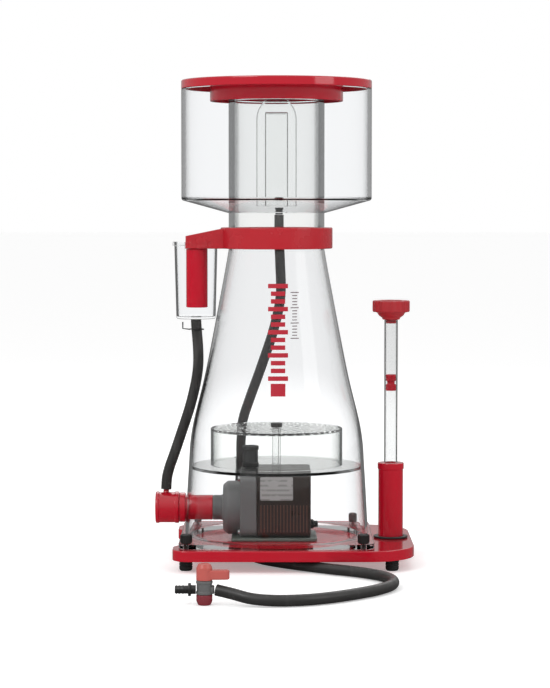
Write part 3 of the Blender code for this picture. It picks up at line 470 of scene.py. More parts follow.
def scale_tree() -> bpy.types.NodeTree:
    """Tree that prints a column of marks on the front of a curved wall."""
    tree = Tree("wall_marks", [
        ("Wall", "NodeSocketObject"), ("Count", "NodeSocketInt"), ("Every", "NodeSocketInt"),
        ("Start", "NodeSocketVector"), ("Pitch", "NodeSocketVector"), ("Size", "NodeSocketVector"),
        ("Short", "NodeSocketFloat"), ("Material", "NodeSocketMaterial")])
    row = tree.node("GeometryNodeMeshLine", {
        "Count": tree.inputs["Count"], "Start Location": tree.inputs["Start"],
        "Offset": tree.inputs["Pitch"]})
    mark = tree.node("GeometryNodeMeshCube", {"Size": tree.inputs["Size"], "Vertices X": 13,
                                              "Vertices Z": 5})
    index = tree.node("GeometryNodeInputIndex").outputs[0]
    beat = tree.math("COMPARE", tree.math("MODULO", index, tree.inputs["Every"]), 0.0)
    width = tree.node("ShaderNodeMapRange", {"Value": beat, "To Min": tree.inputs["Short"],
                                             "To Max": 1.0}).outputs[0]
    widths = tree.node("ShaderNodeCombineXYZ", {"X": width, "Y": 1.0, "Z": 1.0}).outputs[0]
    repeated = tree.node("GeometryNodeInstanceOnPoints", {
        "Points": row.outputs[0], "Instance": mark.outputs["Mesh"], "Scale": widths})
    real = tree.node("GeometryNodeRealizeInstances", {"Geometry": repeated.outputs[0]})
    spot = tree.node("ShaderNodeSeparateXYZ", {0: tree.node("GeometryNodeInputPosition").outputs[0]})
    from_front = tree.node("ShaderNodeCombineXYZ", {"X": spot.outputs[0], "Y": -0.5,
                                                    "Z": spot.outputs[2]}).outputs[0]
    wall = tree.node("GeometryNodeObjectInfo", {"Object": tree.inputs["Wall"]})
    ray = tree.node("GeometryNodeRaycast", {
        "Target Geometry": wall.outputs["Geometry"], "Source Position": from_front,
        "Ray Direction": (0.0, 1.0, 0.0), "Ray Length": 1.0})
    depth = tree.node("ShaderNodeSeparateXYZ", {0: ray.outputs["Hit Position"]}).outputs[1]
    laid = tree.node("ShaderNodeCombineXYZ", {
        "X": spot.outputs[0], "Y": tree.math("ADD", depth, spot.outputs[1]),
        "Z": spot.outputs[2]}).outputs[0]
    wrapped = tree.node("GeometryNodeSetPosition", {"Geometry": real.outputs[0], "Position": laid})
    return tree.end(wrapped.outputs[0])


def run_tree(maker: Callable[[], bpy.types.NodeTree], mesh: bpy.types.Mesh,
             **values: Any) -> bpy.types.Mesh:
    """Run a Geometry Nodes tree on a mesh.

    Args:
        maker: the function that builds the tree, which is built once.
        mesh: the geometry that goes in.
        values: the tree's inputs by name.

    Returns:
        The plain mesh that comes out.
    """
    tree = made_once(maker)
    obj = loose_object(maker.__name__, mesh)
    modifier = obj.modifiers.new("nodes", "NODES")
    modifier.node_group = tree
    for item in tree.interface.items_tree:
        if item.in_out == "INPUT" and item.name in values:
            modifier[item.identifier] = values[item.name]
    return evaluated_mesh(obj)


def lathe(profile: Sequence[Flat], centre: Vector | Point, axis: Axis = Axis.UP, sides: int = FINE,
          closed: bool = True) -> bpy.types.Mesh:
    """A profile of (radius, height) points turned about an axis through the centre.

    Args:
        profile: the profile's points; heights are measured along the axis from the centre.
        centre: a point on the axis.
        axis: which way the axis points.
        sides: how many sides the turned shape has.
        closed: whether the profile is a ring, or ends on the axis.

    Returns:
        The turned mesh.
    """
    count = len(profile)
    edges = [(index, index + 1) for index in range(count - 1)]
    if closed:
        edges.append((count - 1, 0))
    wire = bpy.data.meshes.new("profile")
    wire.from_pydata([(radius - 1.0, -height, 0.0) for radius, height in profile], edges, [])
    mesh = run_tree(turned_tree, wire, Sides=sides)
    turn = Matrix.Translation(centre)
    if axis is Axis.ALONG_X:
        turn = turn @ Matrix.Rotation(math.radians(90), 4, "Y")
    return tidy_mesh(mesh, turn)


def turned(corners: Sequence[Corner], centre: Vector | Point, axis: Axis = Axis.UP, sides: int = FINE,
           closed: bool = True, arc: int = 5) -> bpy.types.Mesh:
    """A piece turned from a profile with rounded corners.

    Args:
        corners: (radius, height, corner radius) of each corner of the profile.
        centre: a point on the axis.
        axis: which way the axis points.
        sides: how many sides the turned shape has.
        closed: whether the profile is a ring, or ends on the axis.
        arc: how many steps a rounded corner has.

    Returns:
        The turned mesh.
    """
    return lathe(rounded(corners, closed, arc), centre, axis, sides, closed)


def tube(inner: float, outer: float, bottom: float, top: float, edge: float, centre: Vector | Point,
         axis: Axis = Axis.UP, sides: int = MEDIUM) -> bpy.types.Mesh:
    """A plain tube or ring with rounded edges."""
    corners = [(outer, top, edge), (outer, bottom, edge), (inner, bottom, edge), (inner, top, edge)]
    return turned(corners, centre, axis, sides, arc=3)


def cylinder(radius: float, bottom: float, top: float, edge: float, centre: Vector | Point,
             axis: Axis = Axis.UP, sides: int = MEDIUM) -> bpy.types.Mesh:
    """A solid cylinder with rounded edges."""
    corners = [(0, top, 0), (radius, top, edge), (radius, bottom, edge), (0, bottom, 0)]
    return turned(corners, centre, axis, sides, closed=False, arc=3)


# ---- shader groups ------------------------------------------------------------------

class Shading(NodeWork):
    """Nodes of a material or a shader group under construction."""

    def noise(self, scale: Any, detail: float, stretch: Point = (1, 1, 1)) -> bpy.types.NodeSocket:
        """Noise on the object's own coordinates, stretched along its axes."""
        place = self.node("ShaderNodeTexCoord").outputs["Object"]
        laid = self.node("ShaderNodeMapping", {"Vector": place, "Scale": stretch}).outputs[0]
        return self.node("ShaderNodeTexNoise", {"Vector": laid, "Scale": scale,
                                                "Detail": detail}).outputs[0]

    def between(self, value: Any, start: Any, end: Any, first: Any = 0.0,
                last: Any = 1.0) -> bpy.types.NodeSocket:
        """A value mapped from one range to another, and kept inside it."""
        return self.node("ShaderNodeMapRange", {"Value": value, "From Min": start, "From Max": end,
                                                "To Min": first, "To Max": last}).outputs[0]

    def times(self, first: Any, second: Any) -> bpy.types.NodeSocket:
        """The product of two values."""
        return self.math("MULTIPLY", first, second)

    def mix(self, share: Any, first: Any, second: Any) -> bpy.types.NodeSocket:
        """Two colours mixed."""
        return self.node("ShaderNodeMix", {0: share, 6: first, 7: second}, data_type="RGBA").outputs[2]

    def group(self, maker: Callable[[], bpy.types.NodeTree], links: dict[str, Any]) -> bpy.types.Node:
        """Place a shared shader group.

        Args:
            maker: the function that builds the group.
            links: the group's inputs.

        Returns:
            The group's node.
        """
        return self.node("ShaderNodeGroup", links, node_tree=made_once(maker))


def shader_group(name: str, inputs: Sequence[tuple[str, str]],
                 outputs: Sequence[tuple[str, str]]) -> tuple[Shading, Any, Any]:
    """Start a shader group.

    Args:
        name: the group's name.
        inputs: (name, socket type) of each input.
        outputs: (name, socket type) of each output.

    Returns:
        The group's nodes, its inputs' sockets and its outputs' sockets.
    """
    group = bpy.data.node_groups.new(name, "ShaderNodeTree")
    for label, kind in inputs:
        group.interface.new_socket(label, in_out="INPUT", socket_type=kind)
    for label, kind in outputs:
        group.interface.new_socket(label, in_out="OUTPUT", socket_type=kind)
    return (Shading(group), group.nodes.new("NodeGroupInput").outputs,
            group.nodes.new("NodeGroupOutput").inputs)


def surface_grain() -> bpy.types.NodeTree:
    """Group: the uneven gloss and the fine texture of a moulded or cast surface."""
    work, given, made = shader_group(
        "surface_grain",
        [("Scale", "NodeSocketFloat"), ("Low", "NodeSocketFloat"), ("High", "NodeSocketFloat")],
        [("Roughness", "NodeSocketFloat"), ("Height", "NodeSocketFloat")])
    broad = work.noise(work.times(given["Scale"], 0.06), 3.0)
    fine = work.noise(given["Scale"], 4.0)
    work.tree.links.new(work.between(broad, 0.3, 0.7, given["Low"], given["High"]), made["Roughness"])
    work.tree.links.new(fine, made["Height"])
    return work.tree


def handling_marks() -> bpy.types.NodeTree:
    """Group: faint wiping marks and worn patches in another colour."""
    work, given, made = shader_group(
        "handling_marks",
        [("Color", "NodeSocketColor"), ("Mark", "NodeSocketColor"), ("Scale", "NodeSocketFloat"),
         ("Amount", "NodeSocketFloat")],
        [("Color", "NodeSocketColor"), ("Mask", "NodeSocketFloat")])
    streaks = work.between(work.noise(given["Scale"], 6.0, (1, 1, 0.18)), 0.56, 0.72)
    patches = work.between(work.noise(work.times(given["Scale"], 0.2), 2.0), 0.40, 0.65)
    mask = work.times(work.times(streaks, patches), given["Amount"])
    work.tree.links.new(work.mix(mask, given["Color"], given["Mark"]), made["Color"])
    work.tree.links.new(mask, made["Mask"])
    return work.tree


DUST: Colour = (0.55, 0.53, 0.50)


def settled_dust() -> bpy.types.NodeTree:
    """Group: a thin veil of dust on faces that look up."""
    work, given, made = shader_group(
        "settled_dust", [("Color", "NodeSocketColor"), ("Amount", "NodeSocketFloat")],
        [("Color", "NodeSocketColor"), ("Mask", "NodeSocketFloat")])
    normal = work.node("ShaderNodeNewGeometry").outputs["Normal"]
    upward = work.between(work.node("ShaderNodeSeparateXYZ", {0: normal}).outputs[2], 0.5, 1.0)
    mask = work.times(work.times(upward, work.between(work.noise(260.0, 5.0), 0.4, 0.75)),
                      given["Amount"])
    work.tree.links.new(work.mix(mask, given["Color"], (*DUST, 1.0)), made["Color"])
    work.tree.links.new(mask, made["Mask"])
    return work.tree


# ---- finishes -----------------------------------------------------------------------

MATERIALS: dict[str, bpy.types.Material] = {}


@dataclass(frozen=True)
class Finish:
    """What every finish has: its name and the record slot that it stands for."""

    name: str
    slot: str

    @property
    def clear(self) -> bool:
        """Whether light passes through the finish."""
        return False

    def shade(self, work: Shading, shader: bpy.types.Node) -> None:
        """Fill the material's nodes."""

    def material(self) -> bpy.types.Material:
        """The finish's material, made once."""
        if self.name not in MATERIALS:
            made = bpy.data.materials.new(self.name)
            made.use_nodes = True
            self.shade(Shading(made.node_tree), made.node_tree.nodes["Principled BSDF"])
            MATERIALS[self.name] = made
        return MATERIALS[self.name]


@dataclass(frozen=True)
class Moulded(Finish):
    """Opaque plastic or rubber with grain, wiping marks and a little dust."""

    color: Colour = (0.5, 0.5, 0.5)
    mark: Colour = (0.6, 0.6, 0.6)
    gloss: float = 0.3
    matt: float = 0.45
    grain: float = 900.0
    bump: float = 0.05
    coat: float = 0.0
    marks: float = 0.25
    dust: float = 0.08
    metallic: float = 0.0
    sheen: float = 0.0

    def shade(self, work: Shading, shader: bpy.types.Node) -> None:
        """Fill the material's nodes."""
        grain = work.group(surface_grain, {"Scale": self.grain, "Low": self.gloss, "High": self.matt})
        marks = work.group(handling_marks, {"Color": (*self.color, 1), "Mark": (*self.mark, 1),
                                            "Scale": 55.0, "Amount": self.marks})
        dust = work.group(settled_dust, {"Color": marks.outputs["Color"], "Amount": self.dust})
        bump = work.node("ShaderNodeBump", {"Strength": self.bump, "Distance": 0.0002,
                                            "Height": grain.outputs["Height"]})
        links = work.tree.links
        links.new(dust.outputs["Color"], shader.inputs["Base Color"])
        links.new(grain.outputs["Roughness"], shader.inputs["Roughness"])
        links.new(bump.outputs[0], shader.inputs["Normal"])
        shader.inputs["Metallic"].default_value = self.metallic
        shader.inputs["Coat Weight"].default_value = self.coat
        shader.inputs["Coat Roughness"].default_value = 0.04
        shader.inputs["Sheen Weight"].default_value = self.sheen


@dataclass(frozen=True)
class ClearAcrylic(Finish):
    """Polished clear acrylic with painted shade: its colour darkens to an edge colour where the wall is
    seen edge-on.
    """

    face: Colour = (0.985, 0.99, 0.99)
    # Colour of the painted shade on the wall's edge-on outlines, and the facing values between which it is
    # blended in.
    edge: Colour = (0.62, 0.65, 0.65)
    edge_from: float = 0.62
    edge_to: float = 0.95
    smudge: float = 0.02
    # Radius from the axis inside which the painted edge shade is left off.
    core: float = 0.0
    index: float = 1.49

    @property
    def clear(self) -> bool:
        """Whether light passes through the finish."""
        return True

    def shade(self, work: Shading, shader: bpy.types.Node) -> None:
        """Fill the material's nodes."""
        # Painted shade: the colour turns to the edge colour where the wall is seen edge-on, less where its
        # faces look up or down.
        facing = work.node("ShaderNodeLayerWeight", {"Blend": 0.5}).outputs["Facing"]
        normal = work.node("ShaderNodeNewGeometry").outputs["Normal"]
        slope = work.math("ABSOLUTE", work.node("ShaderNodeSeparateXYZ", {0: normal}).outputs[2])
        share = work.times(work.between(facing, self.edge_from, self.edge_to),
                           work.between(slope, 0.45, 0.8, 1.0, 0.1))
        if self.core:
            place = work.node("ShaderNodeTexCoord").outputs["Object"]
            axis = (-middle("body_shell").x, 0, 0)
            centred = work.node("ShaderNodeMapping", {"Vector": place, "Location": axis,
                                                      "Scale": (1, 1, 0)}).outputs[0]
            reach = work.node("ShaderNodeVectorMath", {0: centred}, operation="LENGTH").outputs["Value"]
            share = work.times(share, work.between(reach, self.core, self.core + 0.001))
        marks = work.group(handling_marks, {
            "Color": (*self.face, 1), "Mark": (*(value * 0.97 for value in self.face), 1),
            "Scale": 30.0, "Amount": 0.6})
        grain = work.group(surface_grain, {"Scale": 400.0, "Low": 0.0, "High": self.smudge})
        links = work.tree.links
        links.new(work.mix(share, marks.outputs["Color"], (*self.edge, 1)), shader.inputs["Base Color"])
        links.new(grain.outputs["Roughness"], shader.inputs["Roughness"])
        shader.inputs["Transmission Weight"].default_value = 1.0
        shader.inputs["IOR"].default_value = self.index


@dataclass(frozen=True)
class Hose(Finish):
    """Dark silicone hose with a soft sheen and faint rings from its coil."""

    color: Colour = (0.021, 0.020, 0.019)
    mark: Colour = (0.08, 0.077, 0.074)

    def shade(self, work: Shading, shader: bpy.types.Node) -> None:
        """Fill the material's nodes."""
        marks = work.group(handling_marks, {"Color": (*self.color, 1), "Mark": (*self.mark, 1),
                                            "Scale": 90.0, "Amount": 0.5})
        grain = work.group(surface_grain, {"Scale": 1500.0, "Low": 0.32, "High": 0.5})
        dust = work.group(settled_dust, {"Color": marks.outputs["Color"], "Amount": 0.06})
        bump = work.node("ShaderNodeBump", {"Strength": 0.12, "Distance": 0.0002,
                                            "Height": grain.outputs["Height"]})
        links = work.tree.links
        links.new(dust.outputs["Color"], shader.inputs["Base Color"])
        links.new(grain.outputs["Roughness"], shader.inputs["Roughness"])
        links.new(bump.outputs[0], shader.inputs["Normal"])


@dataclass(frozen=True)
class PrintedFilm(Finish):
    """Grey label film with faint blank panels and rules, and no lettering."""

    paper: Colour = (0.27, 0.265, 0.26)
    ink: Colour = (0.10, 0.10, 0.10)
    mark: Colour = (0.36, 0.355, 0.35)
    line_pitch: float = 1250.0

    def shade(self, work: Shading, shader: bpy.types.Node) -> None:
        """Fill the material's nodes."""
        place = work.node("ShaderNodeTexCoord").outputs["Object"]
        spot = work.node("ShaderNodeSeparateXYZ", {0: place})
        rows = work.math("SINE", work.times(spot.outputs[2], self.line_pitch))
        lines = work.times(work.between(rows, 0.1, 0.4), work.between(work.noise(110.0, 1.0), 0.44, 0.54))
        panels = work.mix(work.times(lines, 0.55), (*self.paper, 1), (*self.ink, 1))
        grain = work.group(surface_grain, {"Scale": 700.0, "Low": 0.35, "High": 0.5})
        marks = work.group(handling_marks, {"Color": panels, "Mark": (*self.mark, 1), "Scale": 80.0,
                                            "Amount": 0.3})
        work.tree.links.new(marks.outputs["Color"], shader.inputs["Base Color"])
        work.tree.links.new(grain.outputs["Roughness"], shader.inputs["Roughness"])


RED = Moulded("polished_red_acrylic", "red_acrylic", color=(0.42, 0.004, 0.016), mark=(0.50, 0.02, 0.03),
              gloss=0.08, matt=0.16, grain=300.0, bump=0.01, coat=0.4, marks=0.3, dust=0.03)
RED_COLLAR = Moulded("bright_red_moulding", "red_acrylic", color=(0.40, 0.010, 0.018),
                     mark=(0.50, 0.04, 0.04), gloss=0.20, matt=0.32, grain=700.0, bump=0.04, coat=0.15,
                     marks=0.3, dust=0.03)
RED_KNOB = Moulded("satin_red_moulding", "red_acrylic", color=(0.36, 0.010, 0.016), mark=(0.50, 0.07, 0.07),
                   gloss=0.28, matt=0.42, grain=900.0, bump=0.06, marks=0.4, dust=0.06)
VALVE_RED = Moulded("orange_red_moulding", "valve_red", color=(0.46, 0.085, 0.070), mark=(0.58, 0.2, 0.16),
                    gloss=0.3, matt=0.45, bump=0.06, marks=0.4)
# The cap's finish is the red acrylic darkened: painted shade for the shadow that the cap sits in under the
# valve.
VALVE_CAP = Moulded("shade_darkened_red_moulding", "red_acrylic", color=(0.20, 0.018, 0.028), mark=(0.32, 0.06, 0.07),
                    gloss=0.35, matt=0.5, bump=0.06, marks=0.4)
SCALE_RED = Moulded("red_scale_ink", "red_acrylic", color=(0.40, 0.004, 0.020), mark=(0.5, 0.05, 0.06),
                    gloss=0.35, matt=0.5, grain=1200.0, bump=0.02, marks=0.3, dust=0.0)
SCALE_GREY = Moulded("grey_scale_ink", "grey_plastic", color=(0.16, 0.12, 0.13), mark=(0.2, 0.17, 0.17),
                     gloss=0.4, matt=0.5, grain=1200.0, bump=0.02, marks=0.3, dust=0.0)
BLACK_RUBBER = Moulded("black_rubber_part", "black_rubber", color=(0.012, 0.012, 0.012),
                       mark=(0.05, 0.05, 0.05), gloss=0.5, matt=0.7, bump=0.12, marks=0.4, dust=0.12)
BLACK_PLASTIC = Moulded("black_moulding", "black_plastic", color=(0.012, 0.0115, 0.011),
                        mark=(0.06, 0.06, 0.06), gloss=0.32, matt=0.48, bump=0.08, marks=0.35, dust=0.08)
GREY_PLASTIC = Moulded("grey_moulding", "grey_plastic", color=(0.105, 0.105, 0.105),
                       mark=(0.20, 0.20, 0.20), gloss=0.33, matt=0.5, bump=0.08, marks=0.4, dust=0.06)
BRACKET = Moulded("grey_green_moulding", "bracket_plastic", color=(0.085, 0.100, 0.085),
                  mark=(0.17, 0.18, 0.16), gloss=0.35, matt=0.5, bump=0.08, marks=0.4)
MOTOR = Moulded("dark_motor_resin", "motor_resin", color=(0.016, 0.009, 0.006), mark=(0.05, 0.03, 0.022),
                gloss=0.26, matt=0.42, grain=1100.0, bump=0.1, coat=0.1, marks=0.4, dust=0.04)
# The ribs carry a lighter copy of the motor's resin colour.
MOTOR_RIB = Moulded("lighter_motor_resin", "motor_resin", color=(0.085, 0.036, 0.026),
                    mark=(0.13, 0.07, 0.055), gloss=0.3, matt=0.45, grain=1100.0, bump=0.1, marks=0.5,
                    dust=0.04)
STEEL = Moulded("ground_steel", "shaft_steel", color=(0.55, 0.55, 0.56), mark=(0.42, 0.42, 0.43),
                gloss=0.2, matt=0.32, grain=2000.0, bump=0.04, marks=0.5, dust=0.0, metallic=1.0)
FERRITE = Moulded("sealed_ferrite", "magnet_ferrite", color=(0.045, 0.045, 0.05), mark=(0.1, 0.1, 0.1),
                  gloss=0.4, matt=0.55, bump=0.1)
HOSE = Hose("silicone_hose", "hose_silicone")
LABEL = PrintedFilm("blank_label_film", "label_film")
# Clear finishes; each edge colour is painted shade on that wall's edge-on outlines.
CLEAR_BELL = ClearAcrylic("clear_bell_wall", "clear_acrylic", face=(0.965, 0.97, 0.975),
                          edge=(0.16, 0.165, 0.165), edge_from=0.72, edge_to=0.99, index=1.4)
CLEAR_CUP = ClearAcrylic("clear_cup_wall", "clear_acrylic", face=(0.962, 0.968, 0.974),
                         edge=(0.30, 0.31, 0.32), edge_from=0.66, edge_to=0.98, index=1.12)
CLEAR_NECK = ClearAcrylic("clear_neck_wall", "clear_acrylic", face=(0.985, 0.99, 0.985),
                          edge=(0.36, 0.365, 0.365), edge_from=0.36, edge_to=0.43, core=0.047)
CLEAR_TUBE = ClearAcrylic("clear_small_tube", "clear_acrylic", face=(0.93, 0.935, 0.935),
                          edge=(0.06, 0.06, 0.06), edge_from=0.40, edge_to=0.90)
CLEAR_DRUM = ClearAcrylic("clear_drum_wall", "clear_acrylic", face=(0.975, 0.982, 0.972),
                          edge=(0.50, 0.52, 0.51), edge_from=0.45, edge_to=0.90, smudge=0.03, index=1.06)
CLEAR_TOWER = ClearAcrylic("clear_tower_wall", "clear_acrylic", face=(0.985, 0.99, 0.985),
                           edge=(0.10, 0.105, 0.105), edge_from=0.02, edge_to=0.40, index=1.2)
CLEAR_FLANGE = ClearAcrylic("clear_flange", "clear_acrylic", face=(0.96, 0.965, 0.965),
                            edge=(0.60, 0.62, 0.62), edge_from=0.6, edge_to=1.0, index=1.12)


def show(name: str, mesh: bpy.types.Mesh, finish: Finish, body: Body,
         nodes: Sequence[str] = ()) -> bpy.types.Object:
    """Put a finished piece in the scene.

    Args:
        name: the piece's name.
        mesh: its mesh, already in place.
        finish: what it is dressed in.
        body: the body that it rides on.
        nodes: the frame's nodes that it stands for.

    Returns:
        The piece.
    """
    mesh.name = name
    mesh.materials.clear()
    mesh.materials.append(finish.material())
    piece = loose_object(name, mesh)
    piece.visible_shadow = not finish.clear
    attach(piece, body.value)
    if nodes:
        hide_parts(*nodes)
    LOG.info("%s on %s: %d faces", name, body.value, len(mesh.polygons))
    return piece


def dress(node: str, finish: Finish) -> None:
    """Give a frame node that stays in view its finish."""
    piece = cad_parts[node]
    for holder in piece.material_slots:
        holder.material = finish.material()
    piece.visible_shadow = not finish.clear
    LOG.info("%s keeps its own shape", node)


# ---- base ---------------------------------------------------------------------------

@dataclass
class Base:
    """Base plate, channel cover, feet and the screws that hold the bell down."""

    left_corner: float = 0.017
    right_corner: float = 0.048
    ear_length: float = 0.036
    waist_depth: float = 0.0062
    waist_run: float = 0.012
    ear_round: float = 0.008
    edge: float = 0.0009
    knurls: int = 22
    shank_radius: float = 0.0025
    groove_top: float = 0.0055
    foot_grooves: Flat = (0.0078, 0.0050)

    def build(self) -> None:
        """Make every piece of the base."""
        self._plate()
        dress("channel_cover", RED)
        for corner in CORNERS:
            self._foot(f"foot_{corner}")
            self._screw(f"thumb_screw_{corner}")

    def _plate(self) -> None:
        """The red plate, with an ear at each left corner."""
        lo, hi = low("base_plate"), high("base_plate")
        depth = hi.y
        front = [(lo.x, self.ear_length - depth, self.ear_round), (lo.x, -depth, self.left_corner),
                 (hi.x, -depth, self.right_corner)]
        back = [(x, -y, radius) for x, y, radius in reversed(front)]
        waist = depth - self.ear_length - self.waist_run
        inner = [(lo.x + self.waist_depth, waist, self.ear_round),
                 (lo.x + self.waist_depth, -waist, self.ear_round)]
        mesh = slab(rounded(front + back + inner, arc=14), lo.z, hi.z, self.edge)
        cover_lo, cover_hi = low("channel_cover"), high("channel_cover")
        groove = slab(rectangle((cover_lo.x - GAP, cover_lo.y - GAP), (cover_hi.x + GAP, cover_hi.y + GAP),
                                0.0005), lo.z - 0.001, lo.z + self.groove_top)
        mesh = carve(mesh, groove)
        show("base_plate_fine", mesh, RED, Body.ROOT, ["base_plate"])

    def _foot(self, node: str) -> None:
        """A turned rubber foot with two grooves."""
        lo, hi, centre = extent(node)
        radius, top = (hi.x - lo.x) / 2, hi.z
        corners = [(0, top, 0), (radius - 0.0006, top, 0.0005), (radius, top - 0.0016, 0.0005)]
        for groove in self.foot_grooves:
            corners += [(radius - 0.0001, groove + 0.0007, 0.0002), (radius - 0.0008, groove, 0.0004),
                        (radius - 0.0001, groove - 0.0007, 0.0002)]
        corners += [(radius - 0.0004, 0.0012, 0.0006), (radius - 0.0014, 0, 0.0006), (0, 0, 0)]
        mesh = turned(corners, (centre.x, centre.y, 0), sides=COARSE, closed=False, arc=3)
        show(node + "_fine", mesh, BLACK_RUBBER, Body.ROOT, [node])

    def _screw(self, node: str) -> None:
        """A thumb screw with a knurled head."""
        lo, hi, centre = extent(node)
        flange_top = high("body_flange").z
        head, shank, top, under = (hi.x - lo.x) / 2, self.shank_radius, hi.z, flange_top + GAP
        corners = [(0, top - 0.0008, 0), (head - 0.0022, top - 0.0008, 0.0003),
                   (head - 0.0018, top, 0.0004), (head - 0.0004, top, 0.0009),
                   (head - 0.0004, under, 0.0006), (shank, under, 0), (shank, lo.z, 0.0003), (0, lo.z, 0)]
        mesh = turned(corners, (centre.x, centre.y, 0), sides=COARSE, closed=False, arc=3)
        height = top - under
        mesh = run_tree(ribs_around_tree, mesh, Count=self.knurls, Radius=head - 0.0006,
                        Size=(0.0010, 0.0008, height - 0.0030),
                        Centre=(centre.x, centre.y, under + height / 2))
        show(node + "_fine", mesh, BLACK_PLASTIC, Body.ROOT, [node])


# ---- bell ---------------------------------------------------------------------------

@dataclass
class Bell:
    """Clear bell with its flange, bubble plate, diffuser drum and level marks."""

    stations: tuple[Flat, ...] = (
        (0.0961, 0.0286), (0.0924, 0.094), (0.0885, 0.138), (0.0741, 0.199),
        (0.0578, 0.283), (0.0500, 0.3268), (0.0500, 0.336))
    wall: float = 0.003
    flange_corner: float = 0.014
    flange_mouth: float = 0.0865
    screw_hole: float = 0.0028
    intake_hole: float = 0.0133
    drum_wall: float = 0.0025
    hole_rings: tuple[tuple[int, float], ...] = ((14, 0.024), (24, 0.0375), (34, 0.051), (40, 0.061))
    hole_radius: float = 0.0019
    mark_thickness: float = 0.00012

    def build(self) -> None:
        """Make every piece of the bell."""
        self._flange()
        shell = self._shell()
        self._bubble_plate()
        self._drum()
        self._marks(shell)
        dress("body_gasket", BLACK_RUBBER)

    def _flange(self) -> None:
        """The flat square flange that the bell stands on."""
        lo, hi, centre = extent("body_flange")
        mesh = slab(rectangle((lo.x, lo.y), (hi.x, hi.y), self.flange_corner), lo.z, hi.z, 0.0005)
        mouth = cylinder(self.flange_mouth, lo.z - PAST, hi.z + PAST, 0, (centre.x, centre.y, 0),
                         sides=FINE)
        mesh = carve(mesh, mouth)
        for corner in CORNERS:
            spot = middle(f"thumb_screw_{corner}")
            hole = cylinder(self.screw_hole, lo.z - PAST, hi.z + PAST, 0, (spot.x, spot.y, 0), sides=TINY)
            mesh = carve(mesh, hole)
        show("body_flange_fine", mesh, CLEAR_FLANGE, Body.ROOT, ["body_flange"])

    def _shell(self) -> bpy.types.Object:
        """The blown bell, open at the neck and at the foot, with the intake's hole."""
        centre = middle("body_shell")
        outer = smooth_path(self.stations, 12)
        inner = [(radius - self.wall, height) for radius, height in outer]
        profile = [(radius, height) for radius, height in reversed(outer)] + inner
        mesh = lathe(profile, (centre.x, centre.y, 0))
        intake = middle("intake_tube")
        hole = cylinder(self.intake_hole, low("body_shell").x - 0.01, low("body_shell").x + 0.02, 0,
                        (0, 0, intake.z), Axis.ALONG_X, COARSE)
        return show("body_shell_fine", carve(mesh, hole), CLEAR_BELL, Body.ROOT, ["body_shell"])

    def _bubble_plate(self) -> None:
        """The disc that parts the pump's room from the drum's."""
        lo, hi, centre = extent("bubble_plate")
        mesh = cylinder((hi.x - lo.x) / 2, lo.z, hi.z, 0.0004, (centre.x, centre.y, 0), sides=FINE)
        socket = middle("outlet_socket")
        reach = high("outlet_socket").x - socket.x + GAP
        hole = cylinder(reach, lo.z - PAST, hi.z + PAST, 0, (socket.x, socket.y, 0), sides=COARSE)
        show("bubble_plate_fine", carve(mesh, hole), CLEAR_DRUM, Body.ROOT, ["bubble_plate"])

    def _drum(self) -> None:
        """The diffuser drum with rings of holes through its top."""
        lo, hi, centre = extent("diffuser_drum")
        radius, wall = (hi.x - lo.x) / 2, self.drum_wall
        corners = [(0, hi.z, 0), (radius, hi.z, 0.001), (radius, lo.z, 0.0005),
                   (radius - wall, lo.z, 0.0005), (radius - wall, hi.z - wall, 0.001),
                   (0, hi.z - wall, 0)]
        mesh = turned(corners, (centre.x, centre.y, 0), closed=False, arc=4)
        for count, ring in self.hole_rings:
            mesh = run_tree(perforated_tree, mesh, Count=count, Radius=ring, Hole=self.hole_radius,
                            Depth=0.008, Centre=(centre.x, centre.y, hi.z - wall / 2))
        show("diffuser_drum_fine", tidy_mesh(mesh), CLEAR_DRUM, Body.ROOT, ["diffuser_drum"])
        stem_lo, stem_hi, stem = extent("drum_stem")
        rod = cylinder((stem_hi.x - stem_lo.x) / 2, stem_lo.z, stem_hi.z, 0.0004,
                       (stem.x, stem.y, 0), sides=SMALL)
        show("drum_stem_fine", rod, CLEAR_TUBE, Body.ROOT, ["drum_stem"])
        cap_lo, cap_hi, cap = extent("drum_cap")
        nut = cylinder((cap_hi.x - cap_lo.x) / 2, cap_lo.z, cap_hi.z, 0.0007,
                       (cap.x, cap.y, 0), sides=SMALL)
        show("drum_cap_fine", nut, BLACK_PLASTIC, Body.ROOT, ["drum_cap"])

    def _marks(self, shell: bpy.types.Object) -> None:
        """A plain level scale printed on the front of the bell."""
        thick = self.mark_thickness
        x = middle("body_shell").x
        columns = (
            ("level_scale_bold", SCALE_RED, 13, 3, (x + 0.0015, 0.196), 0.0078, (0.0204, 0.0046), 0.72),
            ("level_scale_block", SCALE_RED, 1, 1, (x + 0.0015, 0.1845), 0.01, (0.0150, 0.0128), 1.0),
            ("level_scale_fine", SCALE_GREY, 16, 5, (x + 0.0185, 0.2365), 0.0031, (0.0085, 0.0010), 0.6))
        for name, finish, count, every, start, pitch, size, short in columns:
            blank = bpy.data.meshes.new(name)
            mesh = run_tree(scale_tree, blank, Wall=shell, Count=count, Every=every,
                            Start=(start[0], -thick * 0.7, start[1]), Pitch=(0.0, 0.0, pitch),
                            Size=(size[0], thick, size[1]), Short=short)
            show(name, tidy_mesh(mesh), finish, Body.ROOT)


# ---- neck, collar and cup -----------------------------------------------------------

